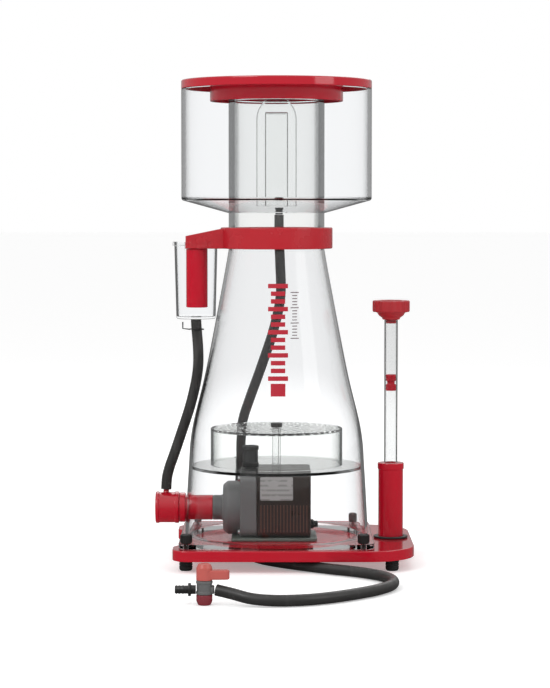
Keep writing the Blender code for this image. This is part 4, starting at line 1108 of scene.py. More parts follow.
@dataclass
class Collar:
    """Red clamp ring whose arm carries the silencer."""

    bore: float = 0.0504
    edge: float = 0.0012
    arm_half_width: float = 0.012
    arm_root_half_width: float = 0.0185
    arm_root: float = 0.0530
    arm_end_top: float = 0.340
    notch: float = 0.0070

    def build(self) -> None:
        """Make the collar and dress the seal under the neck."""
        lo, hi = low("neck_collar"), high("neck_collar")
        tower = middle("body_shell")
        radius = hi.x - tower.x
        corners = [(radius, hi.z, self.edge), (radius, lo.z, self.edge), (self.bore, lo.z, 0.0004),
                   (self.bore, hi.z, 0.0006)]
        ring = turned(corners, (tower.x, tower.y, 0))
        arm_top = hi.z - 0.0015
        root, width, root_width = tower.x - self.arm_root, self.arm_half_width, self.arm_root_half_width
        outline = rounded([(lo.x, -width, 0.008), (root, -root_width, 0.001), (root, root_width, 0.001),
                           (lo.x, width, 0.008)], arc=8)
        arm = slab(outline, lo.z, arm_top, 0.0008)
        start, far = tower.x - radius, lo.x - 0.01
        fall = (arm_top - self.arm_end_top) / (start - lo.x)
        wedge = rounded([(far, self.arm_end_top - fall * 0.01, 0), (start, arm_top, 0),
                         (start, arm_top + 0.02, 0), (far, arm_top + 0.02, 0)])
        arm = carve(arm, slab(wedge, -0.03, 0.03, turn=FACING_FRONT))
        mesh = carve(ring, arm, "UNION")
        spigot = middle("drain_spigot")
        hole = cylinder(self.notch, lo.z - PAST, hi.z + PAST, 0, (spigot.x, spigot.y + 0.001, 0),
                        sides=COARSE)
        show("neck_collar_fine", carve(mesh, hole), RED_COLLAR, Body.ROOT, ["neck_collar"])
        dress("neck_seal", BLACK_RUBBER)


@dataclass
class Cup:
    """Collection cup with its neck tube, drain tower, spigot and lid."""

    neck_wall: float = 0.006
    wall: float = 0.004
    floor_edge: float = 0.3775
    floor_thickness: float = 0.0018
    floor_bore: float = 0.0503
    spigot_hole: float = 0.0053
    lid_plate: float = 0.0035
    skirt_radius: float = 0.0693
    skirt_wall: float = 0.0025
    channel_half_width: float = 0.0135
    channel_top: float = 0.471
    slot_half_width: float = 0.008
    slot_height: float = 0.015
    arch_steps: int = 40
    spigot_bore: float = 0.003

    def build(self) -> None:
        """Make every piece of the cup."""
        self._neck()
        self._bowl()
        self._tower()
        self._spigot()
        self._lid()

    def _neck(self) -> None:
        """The thick tube that the foam rises in."""
        lo, hi, centre = extent("neck_tube")
        radius = (hi.x - lo.x) / 2
        mesh = tube(radius - self.neck_wall, radius, lo.z, hi.z, 0.0008, (centre.x, centre.y, 0),
                    sides=FINE)
        show("neck_tube_fine", mesh, CLEAR_NECK, Body.CUP, ["neck_tube"])

    def _bowl(self) -> None:
        """The cup's wall and its floor, which slopes down to the neck."""
        lo, hi, centre = extent("collection_cup")
        radius = (hi.x - lo.x) / 2
        inner, bore = radius - self.wall, self.floor_bore
        corners = [(radius, hi.z, 0.0005), (radius, self.floor_edge, 0.0030), (bore, lo.z, 0.0004),
                   (bore, lo.z + self.floor_thickness, 0.0004),
                   (inner, self.floor_edge + self.floor_thickness, 0.002), (inner, hi.z, 0.0005)]
        mesh = turned(corners, (centre.x, centre.y, 0))
        spot = middle("drain_spigot")
        hole = cylinder(self.spigot_hole, lo.z - 0.01, lo.z + 0.03, 0, (spot.x, spot.y, 0), sides=COARSE)
        show("collection_cup_fine", carve(mesh, hole), CLEAR_CUP, Body.CUP, ["collection_cup"])

    def _tower(self) -> None:
        """The flat arched channel over the spigot."""
        lo, hi, centre = extent("drain_tower")
        half = (hi.x - lo.x) / 2
        arch = hi.z - half
        outline: list[Flat] = [(centre.x - half, lo.z), (centre.x + half, lo.z)]
        for step in range(self.arch_steps + 1):
            angle = math.pi * step / self.arch_steps
            outline.append((centre.x + half * math.cos(angle), arch + half * math.sin(angle)))
        upright = Matrix.Translation((0, hi.y, 0)) @ FACING_FRONT
        mesh = slab(outline, 0, hi.y - lo.y, 0.0026, 5, upright)
        width, under = self.channel_half_width, lo.z - 0.004
        channel = rounded([(centre.x - width, under, 0), (centre.x + width, under, 0),
                           (centre.x + width, self.channel_top, 0.0015),
                           (centre.x - width, self.channel_top, 0.0015)])
        mesh = carve(mesh, slab(channel, 0.002, hi.y - lo.y - 0.002, 0.0016, 4, upright))
        width, slot_top = self.slot_half_width, lo.z + self.slot_height
        slot = rounded([(centre.x - width, under, 0), (centre.x + width, under, 0),
                        (centre.x + width, slot_top, 0.002), (centre.x - width, slot_top, 0.002)])
        mesh = carve(mesh, slab(slot, -0.001, 0.004, turn=upright))
        show("drain_tower_fine", mesh, CLEAR_TOWER, Body.CUP, ["drain_tower"])

    def _spigot(self) -> None:
        """The black spigot with two barbs for the drain hose."""
        lo, hi, centre = extent("drain_spigot")
        radius, bore = (hi.x - lo.x) / 2, self.spigot_bore
        corners = [(radius, hi.z, 0.0006), (radius, hi.z - 0.0022, 0.0003),
                   (radius - 0.0008, hi.z - 0.0026, 0), (radius - 0.0008, lo.z + 0.0045, 0),
                   (radius, lo.z + 0.0042, 0.0002), (radius - 0.0008, lo.z + 0.0022, 0),
                   (radius, lo.z + 0.0020, 0.0002), (radius - 0.0010, lo.z, 0.0002), (bore, lo.z, 0),
                   (bore, hi.z, 0)]
        mesh = turned(corners, (centre.x, centre.y, 0), sides=COARSE, arc=3)
        show("drain_spigot_fine", mesh, BLACK_PLASTIC, Body.CUP, ["drain_spigot"])

    def _lid(self) -> None:
        """The red lid with a rim over the wall and a skirt round the neck."""
        lo, hi, centre = extent("cup_lid")
        rim, under = (hi.x - lo.x) / 2, hi.z - self.lid_plate
        rim_bottom, skirt_inner = high("collection_cup").z + GAP, self.skirt_radius - self.skirt_wall
        corners = [(0, hi.z, 0), (rim, hi.z, 0.0016), (rim, rim_bottom, 0.0005),
                   (rim - 0.003, rim_bottom, 0.0005), (rim - 0.003, under, 0.0008),
                   (self.skirt_radius, under, 0.0008), (self.skirt_radius, lo.z, 0.0006),
                   (skirt_inner, lo.z, 0.0006), (skirt_inner, under, 0.0008), (0, under, 0)]
        mesh = turned(corners, (centre.x, centre.y, 0), closed=False)
        show("cup_lid_fine", mesh, RED, Body.LID, ["cup_lid"])


# ---- silencer -----------------------------------------------------------------------

@dataclass
class Silencer:
    """Clear air silencer under the collar's arm, with its hose."""

    top_radius: float = 0.0225
    bottom_radius: float = 0.0205
    wall: float = 0.0022
    rim: float = 0.0018
    rim_height: float = 0.004
    slot_half_width: float = 0.0188
    stem_bore: float = 0.0075
    hose_diameter: float = 0.011
    hose_route: tuple[Point, ...] = (
        (-0.0843, 0, 0.2533), (-0.0838, 0, 0.244), (-0.0828, 0, 0.232), (-0.0820, 0, 0.218),
        (-0.0822, 0, 0.204), (-0.0840, 0, 0.190), (-0.0871, 0, 0.1755), (-0.0909, 0, 0.161),
        (-0.0952, 0, 0.1475), (-0.0996, 0, 0.1345), (-0.1038, 0, 0.122), (-0.1083, 0, 0.109),
        (-0.1122, 0, 0.098), (-0.1150, 0, 0.087), (-0.116, 0, 0.0743))

    def build(self) -> None:
        """Make every piece of the silencer."""
        lo, hi, centre = extent("silencer_cup")
        axis_x = lo.x + self.top_radius + self.rim
        top, bottom, wall = hi.z, lo.z, self.wall
        wide, narrow, rim, under = self.top_radius, self.bottom_radius, self.rim, hi.z - self.rim_height
        corners = [(0, bottom, 0), (narrow, bottom, 0.0015), (wide, under, 0.0006),
                   (wide + rim, under, 0.0004), (wide + rim, top, 0.0006), (wide - wall, top, 0.0006),
                   (narrow - wall, bottom + wall, 0.0015), (0, bottom + wall, 0)]
        mesh = turned(corners, (axis_x, centre.y, 0), sides=ROUND, closed=False)
        collar = low("neck_collar")
        width = self.slot_half_width
        slot = slab(rectangle((collar.x - GAP, -width), (collar.x + 0.045, width), 0.001),
                    collar.z - GAP, top + 0.004)
        show("silencer_cup_fine", carve(mesh, slot), CLEAR_CUP, Body.ROOT, ["silencer_cup"])
        stem_lo, stem_hi, stem = extent("silencer_stem")
        pipe = tube(self.stem_bore, (stem_hi.x - stem_lo.x) / 2, stem_lo.z, stem_hi.z, 0.0008,
                    (stem.x, stem.y, 0))
        show("silencer_stem_fine", pipe, RED, Body.ROOT, ["silencer_stem"])
        dress("hose_clip", BLACK_PLASTIC)
        air_hose = Cord("air_hose_fine", self.hose_route, self.hose_diameter, ("air_hose",))
        air_hose.build(stiffness="stiff", lay="taut", far_end="object", with_pieces=["hose_clip"])


@dataclass
class Cord:
    """A free hose along its route."""

    name: str
    route: tuple[Point, ...]
    diameter: float
    nodes: tuple[str, ...]
    per_span: int = 8

    def build(self, stiffness: str, lay: str, far_end: str, with_pieces: Sequence[str]) -> bpy.types.Object:
        """Args:
            stiffness: limp, medium or stiff; not used.
            lay: how it lies; not used.
            far_end: what its far end is; not used.
            with_pieces: the pieces on it; not used.

        Returns:
            The hose.
        """
        tower_x = middle("body_shell").x
        path = smooth_path([(x + tower_x, y, z) for x, y, z in self.route], self.per_span)
        line = bpy.data.curves.new(self.name, "CURVE")
        line.dimensions = "3D"
        line.bevel_depth = self.diameter / 2
        line.bevel_resolution = 7
        line.use_fill_caps = True
        spline = line.splines.new("POLY")
        spline.points.add(len(path) - 1)
        for point, spot in zip(spline.points, path):
            point.co = (*spot, 1)
        spline.use_smooth = True
        line.materials.append(HOSE.material())
        hose = loose_object(self.name, line)
        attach(hose, Body.ROOT.value)
        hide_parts(*self.nodes)
        LOG.info("%s is %.3f m long", self.name, path_length(path))
        return hose


# ---- pump ---------------------------------------------------------------------------

@dataclass
class Intake:
    """Venturi, bulkhead ring and intake tube, left of the pump."""

    bore: float = 0.0095
    mouth: float = 0.013
    throat: float = 0.006
    radius: float = 0.0166
    ring_bore: float = 0.0133
    barb_offset: float = 0.116
    barb_radius: float = 0.0032
    barb_bore: float = 0.0016

    def build(self) -> None:
        """Make every piece of the intake."""
        lo, hi = low("venturi_body"), high("venturi_body")
        axis_z = middle("intake_tube").z
        left, right, radius = lo.x, hi.x, self.radius
        corners = [(self.bore, right, 0.0003), (radius, right, 0.0014), (radius, right - 0.0040, 0.0005),
                   (radius - 0.0006, right - 0.0046, 0.0004), (radius - 0.0006, left + 0.0040, 0.0004),
                   (radius, left + 0.0034, 0.0004), (radius, left, 0.0014), (self.mouth, left, 0.0008),
                   (self.throat, left + 0.009, 0.002), (self.throat, left + 0.014, 0.002)]
        mesh = turned(corners, (0, 0, axis_z), Axis.ALONG_X, ROUND, arc=4)
        barb_x = middle("body_shell").x - self.barb_offset
        foot, wide = axis_z + 0.012 - hi.z, self.barb_radius
        barb = [(0, 0.0, 0), (0.0024, 0.0, 0.0002), (wide, -0.0012, 0.0002), (0.0027, -0.0014, 0.0002),
                (wide, -0.0028, 0.0002), (wide, foot, 0), (0, foot, 0)]
        nipple = turned(barb, (barb_x, 0, hi.z), sides=SMALL, closed=False, arc=2)
        mesh = carve(mesh, nipple, "UNION")
        hole = cylinder(self.barb_bore, axis_z, hi.z + 0.004, 0, (barb_x, 0, 0), sides=SMALL)
        show("venturi_body_fine", carve(mesh, hole), RED, Body.ROOT, ["venturi_body"])
        ring_lo, ring_hi = low("bulkhead_ring"), high("bulkhead_ring")
        ring = tube(self.ring_bore, (ring_hi.z - ring_lo.z) / 2, ring_lo.x, ring_hi.x, 0.0007,
                    (0, 0, axis_z), Axis.ALONG_X)
        show("bulkhead_ring_fine", ring, RED, Body.ROOT, ["bulkhead_ring"])
        pipe_lo, pipe_hi = low("intake_tube"), high("intake_tube")
        pipe = tube(self.bore, (pipe_hi.z - pipe_lo.z) / 2, pipe_lo.x, pipe_hi.x, 0.0005,
                    (0, 0, axis_z), Axis.ALONG_X)
        show("intake_tube_fine", pipe, RED, Body.ROOT, ["intake_tube"])


@dataclass
class Pump:
    """Needle-wheel pump: volute, motor, bracket, label, outlet and rotor."""

    volute_radius: float = 0.028
    inlet_radius: float = 0.013
    inlet_bore: float = 0.0095
    chamber: float = 0.025
    body_length: float = 0.0355
    flange_width: float = 0.0175
    flange_top: float = 0.0935
    outlet_radius: float = 0.0060
    outlet_bore: float = 0.0042
    rib_count: int = 15
    rib_pitch: float = 0.0034
    rib_top: float = 0.0610
    bolt_inset: float = 0.0055
    bolt_bore: float = 0.0012
    bolt_radius: float = 0.0026
    pocket_radius: float = 0.0135
    pocket_depth: float = 0.0442

    def build(self) -> None:
        """Make every piece of the pump."""
        self._volute()
        self._motor()
        self._label()
        self._bracket()
        self._socket()
        self._gland()
        for node, finish in (("volute_seal", BLACK_RUBBER), ("needle_wheel", GREY_PLASTIC),
                             ("rotor_magnet", FERRITE), ("rotor_shaft", STEEL),
                             ("shaft_bush_front", BLACK_RUBBER), ("shaft_bush_rear", BLACK_RUBBER)):
            dress(node, finish)

    def _volute(self) -> None:
        """The grey volute with its inlet, flange and outlet stub."""
        lo, hi = low("pump_volute"), high("pump_volute")
        axis_z, socket_x = middle("intake_tube").z, middle("outlet_socket").x
        front = hi.x - self.body_length
        centre = (0, 0, axis_z)
        body = [(0, lo.x, 0), (self.inlet_radius, lo.x, 0.0008), (self.inlet_radius, front, 0.0025),
                (self.volute_radius - 0.004, front, 0.003), (self.volute_radius, front + 0.005, 0.003),
                (self.volute_radius, hi.x, 0.0003), (0, hi.x, 0)]
        mesh = turned(body, centre, Axis.ALONG_X, ROUND, closed=False)
        flange = slab(rectangle((lo.y, low("pump_motor").z), (hi.y, self.flange_top), 0.009),
                      hi.x - self.flange_width, hi.x, 0.0012, turn=FACING_RIGHT)
        mesh = carve(mesh, flange, "UNION")
        stub = cylinder(self.outlet_radius, axis_z + 0.02, hi.z, 0.0006, (socket_x, 0, 0))
        mesh = carve(mesh, stub, "UNION")
        for tool in (
                cylinder(self.chamber, front + 0.003, hi.x + PAST, 0, centre, Axis.ALONG_X, ROUND),
                cylinder(self.inlet_bore, lo.x - PAST, front + 0.005, 0, centre, Axis.ALONG_X),
                cylinder(self.chamber + 0.0022, hi.x - 0.0022, hi.x + PAST, 0, centre, Axis.ALONG_X, ROUND),
                cylinder(self.outlet_bore, axis_z + 0.017, hi.z + PAST, 0, (socket_x, 0, 0), sides=COARSE)):
            mesh = carve(mesh, tool)
        show("pump_volute_fine", mesh, GREY_PLASTIC, Body.ROOT, ["pump_volute"])
        self._bolts(lo, hi)

    def _bolts(self, lo: Vector, hi: Vector) -> None:
        """Four cap screws through the volute's flange."""
        heads = []
        inset, left = self.bolt_inset, hi.x - self.flange_width
        bore, wide = self.bolt_bore, self.bolt_radius
        corners = [(0, left + 0.001, 0), (bore, left + 0.001, 0), (bore, left - 0.0022, 0.0002),
                   (wide, left - 0.0022, 0.0005), (wide, left + 0.001, 0), (0, left + 0.0012, 0)]
        for y in (lo.y + inset, hi.y - inset):
            for z in (low("pump_motor").z + inset, self.flange_top - inset):
                heads.append(turned(corners, (0, y, z), Axis.ALONG_X, TINY, closed=False, arc=2))
        show("volute_bolts", merged(heads), STEEL, Body.ROOT)

    def _motor(self) -> None:
        """The resin motor block with cooling ribs on its lower half."""
        lo, hi = low("pump_motor"), high("pump_motor")
        mesh = slab(rectangle((lo.y, lo.z), (hi.y, hi.z), 0.007), lo.x, hi.x, 0.0018, turn=FACING_RIGHT)
        pocket = cylinder(self.pocket_radius, lo.x - PAST, lo.x + self.pocket_depth, 0,
                          (0, 0, middle("intake_tube").z), Axis.ALONG_X)
        show("pump_motor_fine", carve(mesh, pocket), MOTOR, Body.ROOT, ["pump_motor"])
        rib_low, rib_high = lo.z + 0.006, self.rib_top
        size = (0.0012, 0.0014, rib_high - rib_low)
        start_x = (lo.x + hi.x) / 2 - self.rib_pitch * (self.rib_count - 1) / 2
        ribs = bpy.data.meshes.new("pump_motor_ribs")
        for y in (lo.y, hi.y):
            ribs = run_tree(ribs_in_line_tree, ribs, Count=self.rib_count, Size=size,
                            Start=(start_x, y, (rib_low + rib_high) / 2),
                            Pitch=(self.rib_pitch, 0.0, 0.0))
        show("pump_motor_ribs", tidy_mesh(ribs), MOTOR_RIB, Body.ROOT)

    def _label(self) -> None:
        """The grey label on the motor's front."""
        lo, hi = low("pump_label"), high("pump_label")
        upright = Matrix.Translation((0, hi.y, 0)) @ FACING_FRONT
        mesh = slab(rectangle((lo.x, lo.z), (hi.x, hi.z), 0.0015), 0, hi.y - lo.y, 0.0001, turn=upright)
        show("pump_label_fine", mesh, LABEL, Body.ROOT, ["pump_label"])

    def _bracket(self) -> None:
        """The plate that the pump clips on to."""
        lo, hi = low("pump_bracket"), high("pump_bracket")
        mesh = slab(rectangle((lo.x, lo.y), (hi.x, hi.y), 0.004), lo.z, hi.z, 0.0008)
        show("pump_bracket_fine", mesh, BRACKET, Body.ROOT, ["pump_bracket"])

    def _socket(self) -> None:
        """The rubber socket on the outlet stub, with two raised bands."""
        lo, hi, centre = extent("outlet_socket")
        radius = (hi.x - lo.x) / 2
        slim = radius - 0.0008
        corners = [(radius, hi.z, 0.0008), (radius, hi.z - 0.004, 0.0004), (slim, hi.z - 0.0046, 0.0003),
                   (slim, lo.z + 0.0070, 0.0003), (radius, lo.z + 0.0064, 0.0004), (radius, lo.z, 0.0006),
                   (self.outlet_radius + GAP, lo.z, 0.0004), (self.outlet_radius + GAP, hi.z, 0.0006)]
        mesh = turned(corners, (centre.x, centre.y, 0), sides=MEDIUM, arc=3)
        show("outlet_socket_fine", mesh, BLACK_RUBBER, Body.ROOT, ["outlet_socket"])

    def _gland(self) -> None:
        """The blank cable gland on the motor's end."""
        lo, hi, centre = extent("cable_gland")
        corners = [(0, hi.x, 0), (0.0030, hi.x, 0.0006), (0.0036, hi.x - 0.0020, 0.0003),
                   (0.0031, hi.x - 0.0026, 0.0003), (0.0040, lo.x + 0.003, 0.0004),
                   (0.0050, lo.x + 0.003, 0.0005), (0.0050, lo.x, 0.0003), (0, lo.x, 0)]
        mesh = turned(corners, (0, centre.y, centre.z), Axis.ALONG_X, SMALL, closed=False, arc=3)
        show("cable_gland_fine", mesh, BLACK_RUBBER, Body.ROOT, ["cable_gland"])


# ---- regulator ----------------------------------------------------------------------

@dataclass
class Regulator:
    """Riser with the sliding level regulator and its knob."""

    riser_radius: float = 0.013
    riser_bore: float = 0.010
    riser_cap_bore: float = 0.0073
    riser_cap_bottom: float = 0.0960
    riser_cap_inside: float = 0.0980
    tube_bore: float = 0.0058
    flutes: int = 12
    flute_depth: float = 0.0012
    points_per_flute: int = 14
    disc_bottom: float = 0.2605
    marker_band: float = 0.0065
    marker_waist: float = 0.0040

    def build(self) -> None:
        """Make every piece of the regulator."""
        self._riser()
        self._tube()
        self._knob()
        dress("regulator_piston", BLACK_RUBBER)

    def _riser(self) -> None:
        """The red riser and the black ring at its foot."""
        lo, hi, centre = extent("riser_tube")
        cap, bore = (hi.x - lo.x) / 2, self.riser_cap_bore
        under, inside = self.riser_cap_bottom, self.riser_cap_inside
        corners = [(cap, hi.z, 0.0010), (cap, under, 0.0006), (self.riser_radius, 0.0953, 0.0003),
                   (self.riser_radius, lo.z, 0.0003), (self.riser_bore, lo.z, 0.0003),
                   (self.riser_bore, inside, 0.0003), (bore, inside, 0.0003), (bore, hi.z, 0.0006)]
        mesh = turned(corners, (centre.x, centre.y, 0), sides=ROUND, arc=4)
        show("riser_tube_fine", mesh, RED, Body.ROOT, ["riser_tube"])
        ring_lo, ring_hi = low("riser_flange"), high("riser_flange")
        ring = tube(self.riser_radius + GAP, (ring_hi.x - ring_lo.x) / 2, ring_lo.z, ring_hi.z, 0.0005,
                    (centre.x, centre.y, 0), sides=96)
        show("riser_flange_fine", ring, BLACK_RUBBER, Body.ROOT, ["riser_flange"])

    def _tube(self) -> None:
        """The clear tube and the red marker inside it."""
        lo, hi, centre = extent("regulator_tube")
        mesh = tube(self.tube_bore, (hi.x - lo.x) / 2, lo.z, hi.z, 0.0004, (centre.x, centre.y, 0))
        show("regulator_tube_fine", mesh, CLEAR_TUBE, Body.REGULATOR, ["regulator_tube"])
        mark_lo, mark_hi = low("level_marker"), high("level_marker")
        radius, band, waist = (mark_hi.x - mark_lo.x) / 2, self.marker_band, self.marker_waist
        corners = [(0, mark_hi.z, 0), (radius, mark_hi.z, 0.0004), (radius, mark_hi.z - band, 0.0004),
                   (waist, mark_hi.z - band - 0.0006, 0.0004), (waist, mark_lo.z + band + 0.0006, 0.0004),
                   (radius, mark_lo.z + band, 0.0004), (radius, mark_lo.z, 0.0004), (0, mark_lo.z, 0)]
        spool = turned(corners, (centre.x, centre.y, 0), sides=SMALL, closed=False, arc=3)
        show("level_marker_fine", spool, RED, Body.REGULATOR, ["level_marker"])

    def _knob(self) -> None:
        """The fluted knob on its flared hub."""
        lo, hi, centre = extent("regulator_knob")
        radius = (hi.x - lo.x) / 2
        outline: list[Flat] = []
        points = self.flutes * self.points_per_flute
        for index in range(points):
            angle = math.tau * index / points
            reach = radius - self.flute_depth * (1 - math.cos(self.flutes * angle)) / 2
            outline.append((centre.x + reach * math.cos(angle), centre.y + reach * math.sin(angle)))
        disc = slab(outline, self.disc_bottom, hi.z, 0.0016, 5)
        tube_top = high("regulator_tube").z
        hub = [(0, 0.268, 0), (0.0150, 0.268, 0), (0.0158, 0.2615, 0.0008), (0.0129, 0.2570, 0.002),
               (0.0095, 0.2545, 0.0012), (0.0089, tube_top + GAP, 0.0005), (0.0055, tube_top + GAP, 0),
               (0.0055, lo.z, 0.0004), (0, lo.z, 0)]
        stem = turned(hub, (centre.x, centre.y, 0), sides=MEDIUM, closed=False, arc=4)
        mesh = carve(disc, stem, "UNION")
        above, floor = hi.z + 0.001, hi.z - 0.0011
        dimple = lathe([(0, above), (0.0125, above), (0.0115, floor), (0, floor)],
                       (centre.x, centre.y, 0), sides=MEDIUM, closed=False)
        show("regulator_knob_fine", carve(mesh, dimple), RED_KNOB, Body.KNOB, ["regulator_knob"])


# ---- drain line ---------------------------------------------------------------------

@dataclass
class DrainLine:
    """Drain hose from the cup to the ball valve on the floor."""

    rest: float = 0.0057
    diameter: float = 0.011
    barb_radius: float = 0.0042
    bore: float = 0.0016
    ball_room: float = 0.0036
    stem_bore: float = 0.0015
    cap_ribs: int = 18
    lever_top: float = 0.0328

    def build(self) -> None:
        """Make every piece of the drain line."""
        self._body()
        self._spigot()
        self._cap()
        self._handle()
        dress("valve_ball", STEEL)
        rest = self.rest
        spigot = low("drain_spigot")
        route: tuple[Point, ...] = (
            (0.003, 0.0585, spigot.z - GAP), (0.003, 0.0587, 0.347), (0.003, 0.0595, 0.332),
            (0.004, 0.0615, 0.312), (0.0045, 0.0660, 0.275), (-0.0030, 0.0725, 0.239),
            (-0.0165, 0.079, 0.199), (-0.0290, 0.086, 0.165), (-0.0375, 0.096, 0.139),
            (-0.0405, 0.1145, 0.1150), (-0.0415, 0.1362, 0.0925), (-0.0420, 0.1477, 0.0748),
            (-0.0425, 0.1515, 0.0557), (-0.0425, 0.1477, 0.0366), (-0.0425, 0.1369, 0.0203),
            (-0.0425, 0.1204, 0.0096), (-0.0420, 0.102, 0.0059), (-0.0412, 0.083, rest),
            (-0.0400, 0.060, rest), (-0.0350, 0.020, rest), (-0.0270, -0.012, rest),
            (-0.0155, -0.038, rest), (0.0020, -0.060, rest), (0.0250, -0.0815, rest),
            (0.0520, -0.103, rest), (0.0810, -0.124, rest), (0.1030, -0.148, rest),
            (0.1135, -0.176, rest), (0.1110, -0.206, rest), (0.0950, -0.235, rest),
            (0.0720, -0.260, rest), (0.0480, -0.280, rest), (0.0240, -0.2925, rest),
            (-0.0010, -0.297, 0.0059), (-0.0230, -0.295, 0.0073), (-0.0415, -0.2893, 0.0111),
            (-0.0563, -0.2853, 0.0140))
        hose = Cord("drain_hose_fine", route, self.diameter, ("drain_hose",))
        hose.build(stiffness="medium", lay="loose", far_end="fitting",
                   with_pieces=["valve_body_fine", "valve_spigot_fine", "valve_cap_fine",
                                "valve_handle_fine", "valve_ball"])

    def _body(self) -> None:
        """The grey valve body with the barb that holds the hose."""
        lo, hi, ball = low("valve_body"), high("valve_body"), middle("valve_ball")
        radius = ball.x - lo.x
        shell = [(0, hi.z, 0), (radius, hi.z, 0.0010), (radius, hi.z - 0.0025, 0.0004),
                 (radius - 0.0006, hi.z - 0.0030, 0.0003), (radius - 0.0006, lo.z + 0.0030, 0.0003),
                 (radius, lo.z + 0.0025, 0.0004), (radius, lo.z, 0.0008), (0, lo.z, 0)]
        mesh = turned(shell, (ball.x, ball.y, 0), sides=MEDIUM, closed=False, arc=3)
        barb = self.barb_radius
        nipple = [(0, ball.x, 0), (barb, ball.x, 0), (barb, hi.x - 0.0008, 0.0002),
                  (barb - 0.0006, hi.x, 0.0002), (0, hi.x, 0)]
        arm = turned(nipple, (0, ball.y, ball.z), Axis.ALONG_X, SMALL, closed=False, arc=2)
        mesh = carve(mesh, arm, "UNION")
        room, upright = self.ball_room, (ball.x, ball.y, 0)
        for tool in (
                cylinder(self.bore, lo.x - PAST, hi.x + PAST, 0, (0, ball.y, ball.z), Axis.ALONG_X, TINY),
                cylinder(room, ball.z - room, ball.z + room, 0.0008, upright, sides=TINY),
                cylinder(self.stem_bore, ball.z, hi.z + PAST, 0, upright, sides=TINY)):
            mesh = carve(mesh, tool)
        show("valve_body_fine", mesh, GREY_PLASTIC, Body.ROOT, ["valve_body"])

    def _spigot(self) -> None:
        """The open spigot on the left, with a stop ring and barbs."""
        lo, hi, centre = extent("valve_spigot")
        barb, ring = self.barb_radius, (hi.z - lo.z) / 2
        corners = [(self.bore, lo.x, 0), (barb - 0.0008, lo.x, 0.0003), (barb, lo.x + 0.0020, 0.0002),
                   (barb - 0.0007, lo.x + 0.0022, 0), (barb, lo.x + 0.0050, 0.0002),
                   (barb - 0.0007, lo.x + 0.0052, 0), (barb, lo.x + 0.0080, 0.0002),
                   (barb - 0.0004, lo.x + 0.0082, 0), (barb - 0.0004, lo.x + 0.0122, 0.0003),
                   (ring, lo.x + 0.0124, 0.0005), (ring, lo.x + 0.0149, 0.0005),
                   (barb, lo.x + 0.0151, 0.0003), (barb, hi.x, 0.0003), (self.bore, hi.x, 0)]
        mesh = turned(corners, (0, centre.y, centre.z), Axis.ALONG_X, COARSE, arc=3)
        show("valve_spigot_fine", mesh, BLACK_PLASTIC, Body.ROOT, ["valve_spigot"])

    def _cap(self) -> None:
        """The red cap under the valve, with ribs to grip it by."""
        lo, hi, centre = extent("valve_cap")
        radius = (hi.x - lo.x) / 2
        corners = [(0, hi.z, 0), (radius, hi.z, 0.0009), (radius - 0.0004, 0.0030, 0.002),
                   (radius - 0.0020, lo.z, 0.0008), (0, lo.z, 0)]
        mesh = turned(corners, (centre.x, centre.y, 0), sides=MEDIUM, closed=False)
        mesh = run_tree(ribs_around_tree, mesh, Count=self.cap_ribs, Radius=radius - 0.0006,
                        Size=(0.0009, 0.0009, 0.0050), Centre=(centre.x, centre.y, 0.0062))
        show("valve_cap_fine", mesh, VALVE_CAP, Body.ROOT, ["valve_cap"])

    def _handle(self) -> None:
        """The lever with its round hub and the stem down to the ball."""
        lo, hi, ball = low("valve_handle"), high("valve_handle"), middle("valve_ball")
        bottom = high("valve_body").z + GAP
        hub = [(0, hi.z - 0.0006, 0), (0.0034, hi.z - 0.0006, 0.0003), (0.0040, hi.z, 0.0003),
               (0.0056, hi.z, 0.0012), (0.0074, hi.z - 0.0040, 0.002), (0.0076, bottom, 0.0005),
               (0.0012, bottom, 0), (0.0012, lo.z, 0.0002), (0, lo.z, 0)]
        mesh = turned(hub, (ball.x, ball.y, 0), sides=MEDIUM, closed=False)
        outline = rounded([(ball.x, ball.y - 0.0060, 0), (ball.x + 0.008, ball.y - 0.0050, 0.004),
                           (hi.x, ball.y - 0.0042, 0.0040), (hi.x, ball.y + 0.0042, 0.0040),
                           (ball.x + 0.008, ball.y + 0.0050, 0.004), (ball.x, ball.y + 0.0060, 0)])
        lever = slab(outline, bottom + 0.0006, self.lever_top, 0.0014, 4)
        mesh = carve(mesh, lever, "UNION")
        show("valve_handle_fine", mesh, VALVE_RED, Body.LEVER, ["valve_handle"])


# ---- stage --------------------------------------------------------------------------

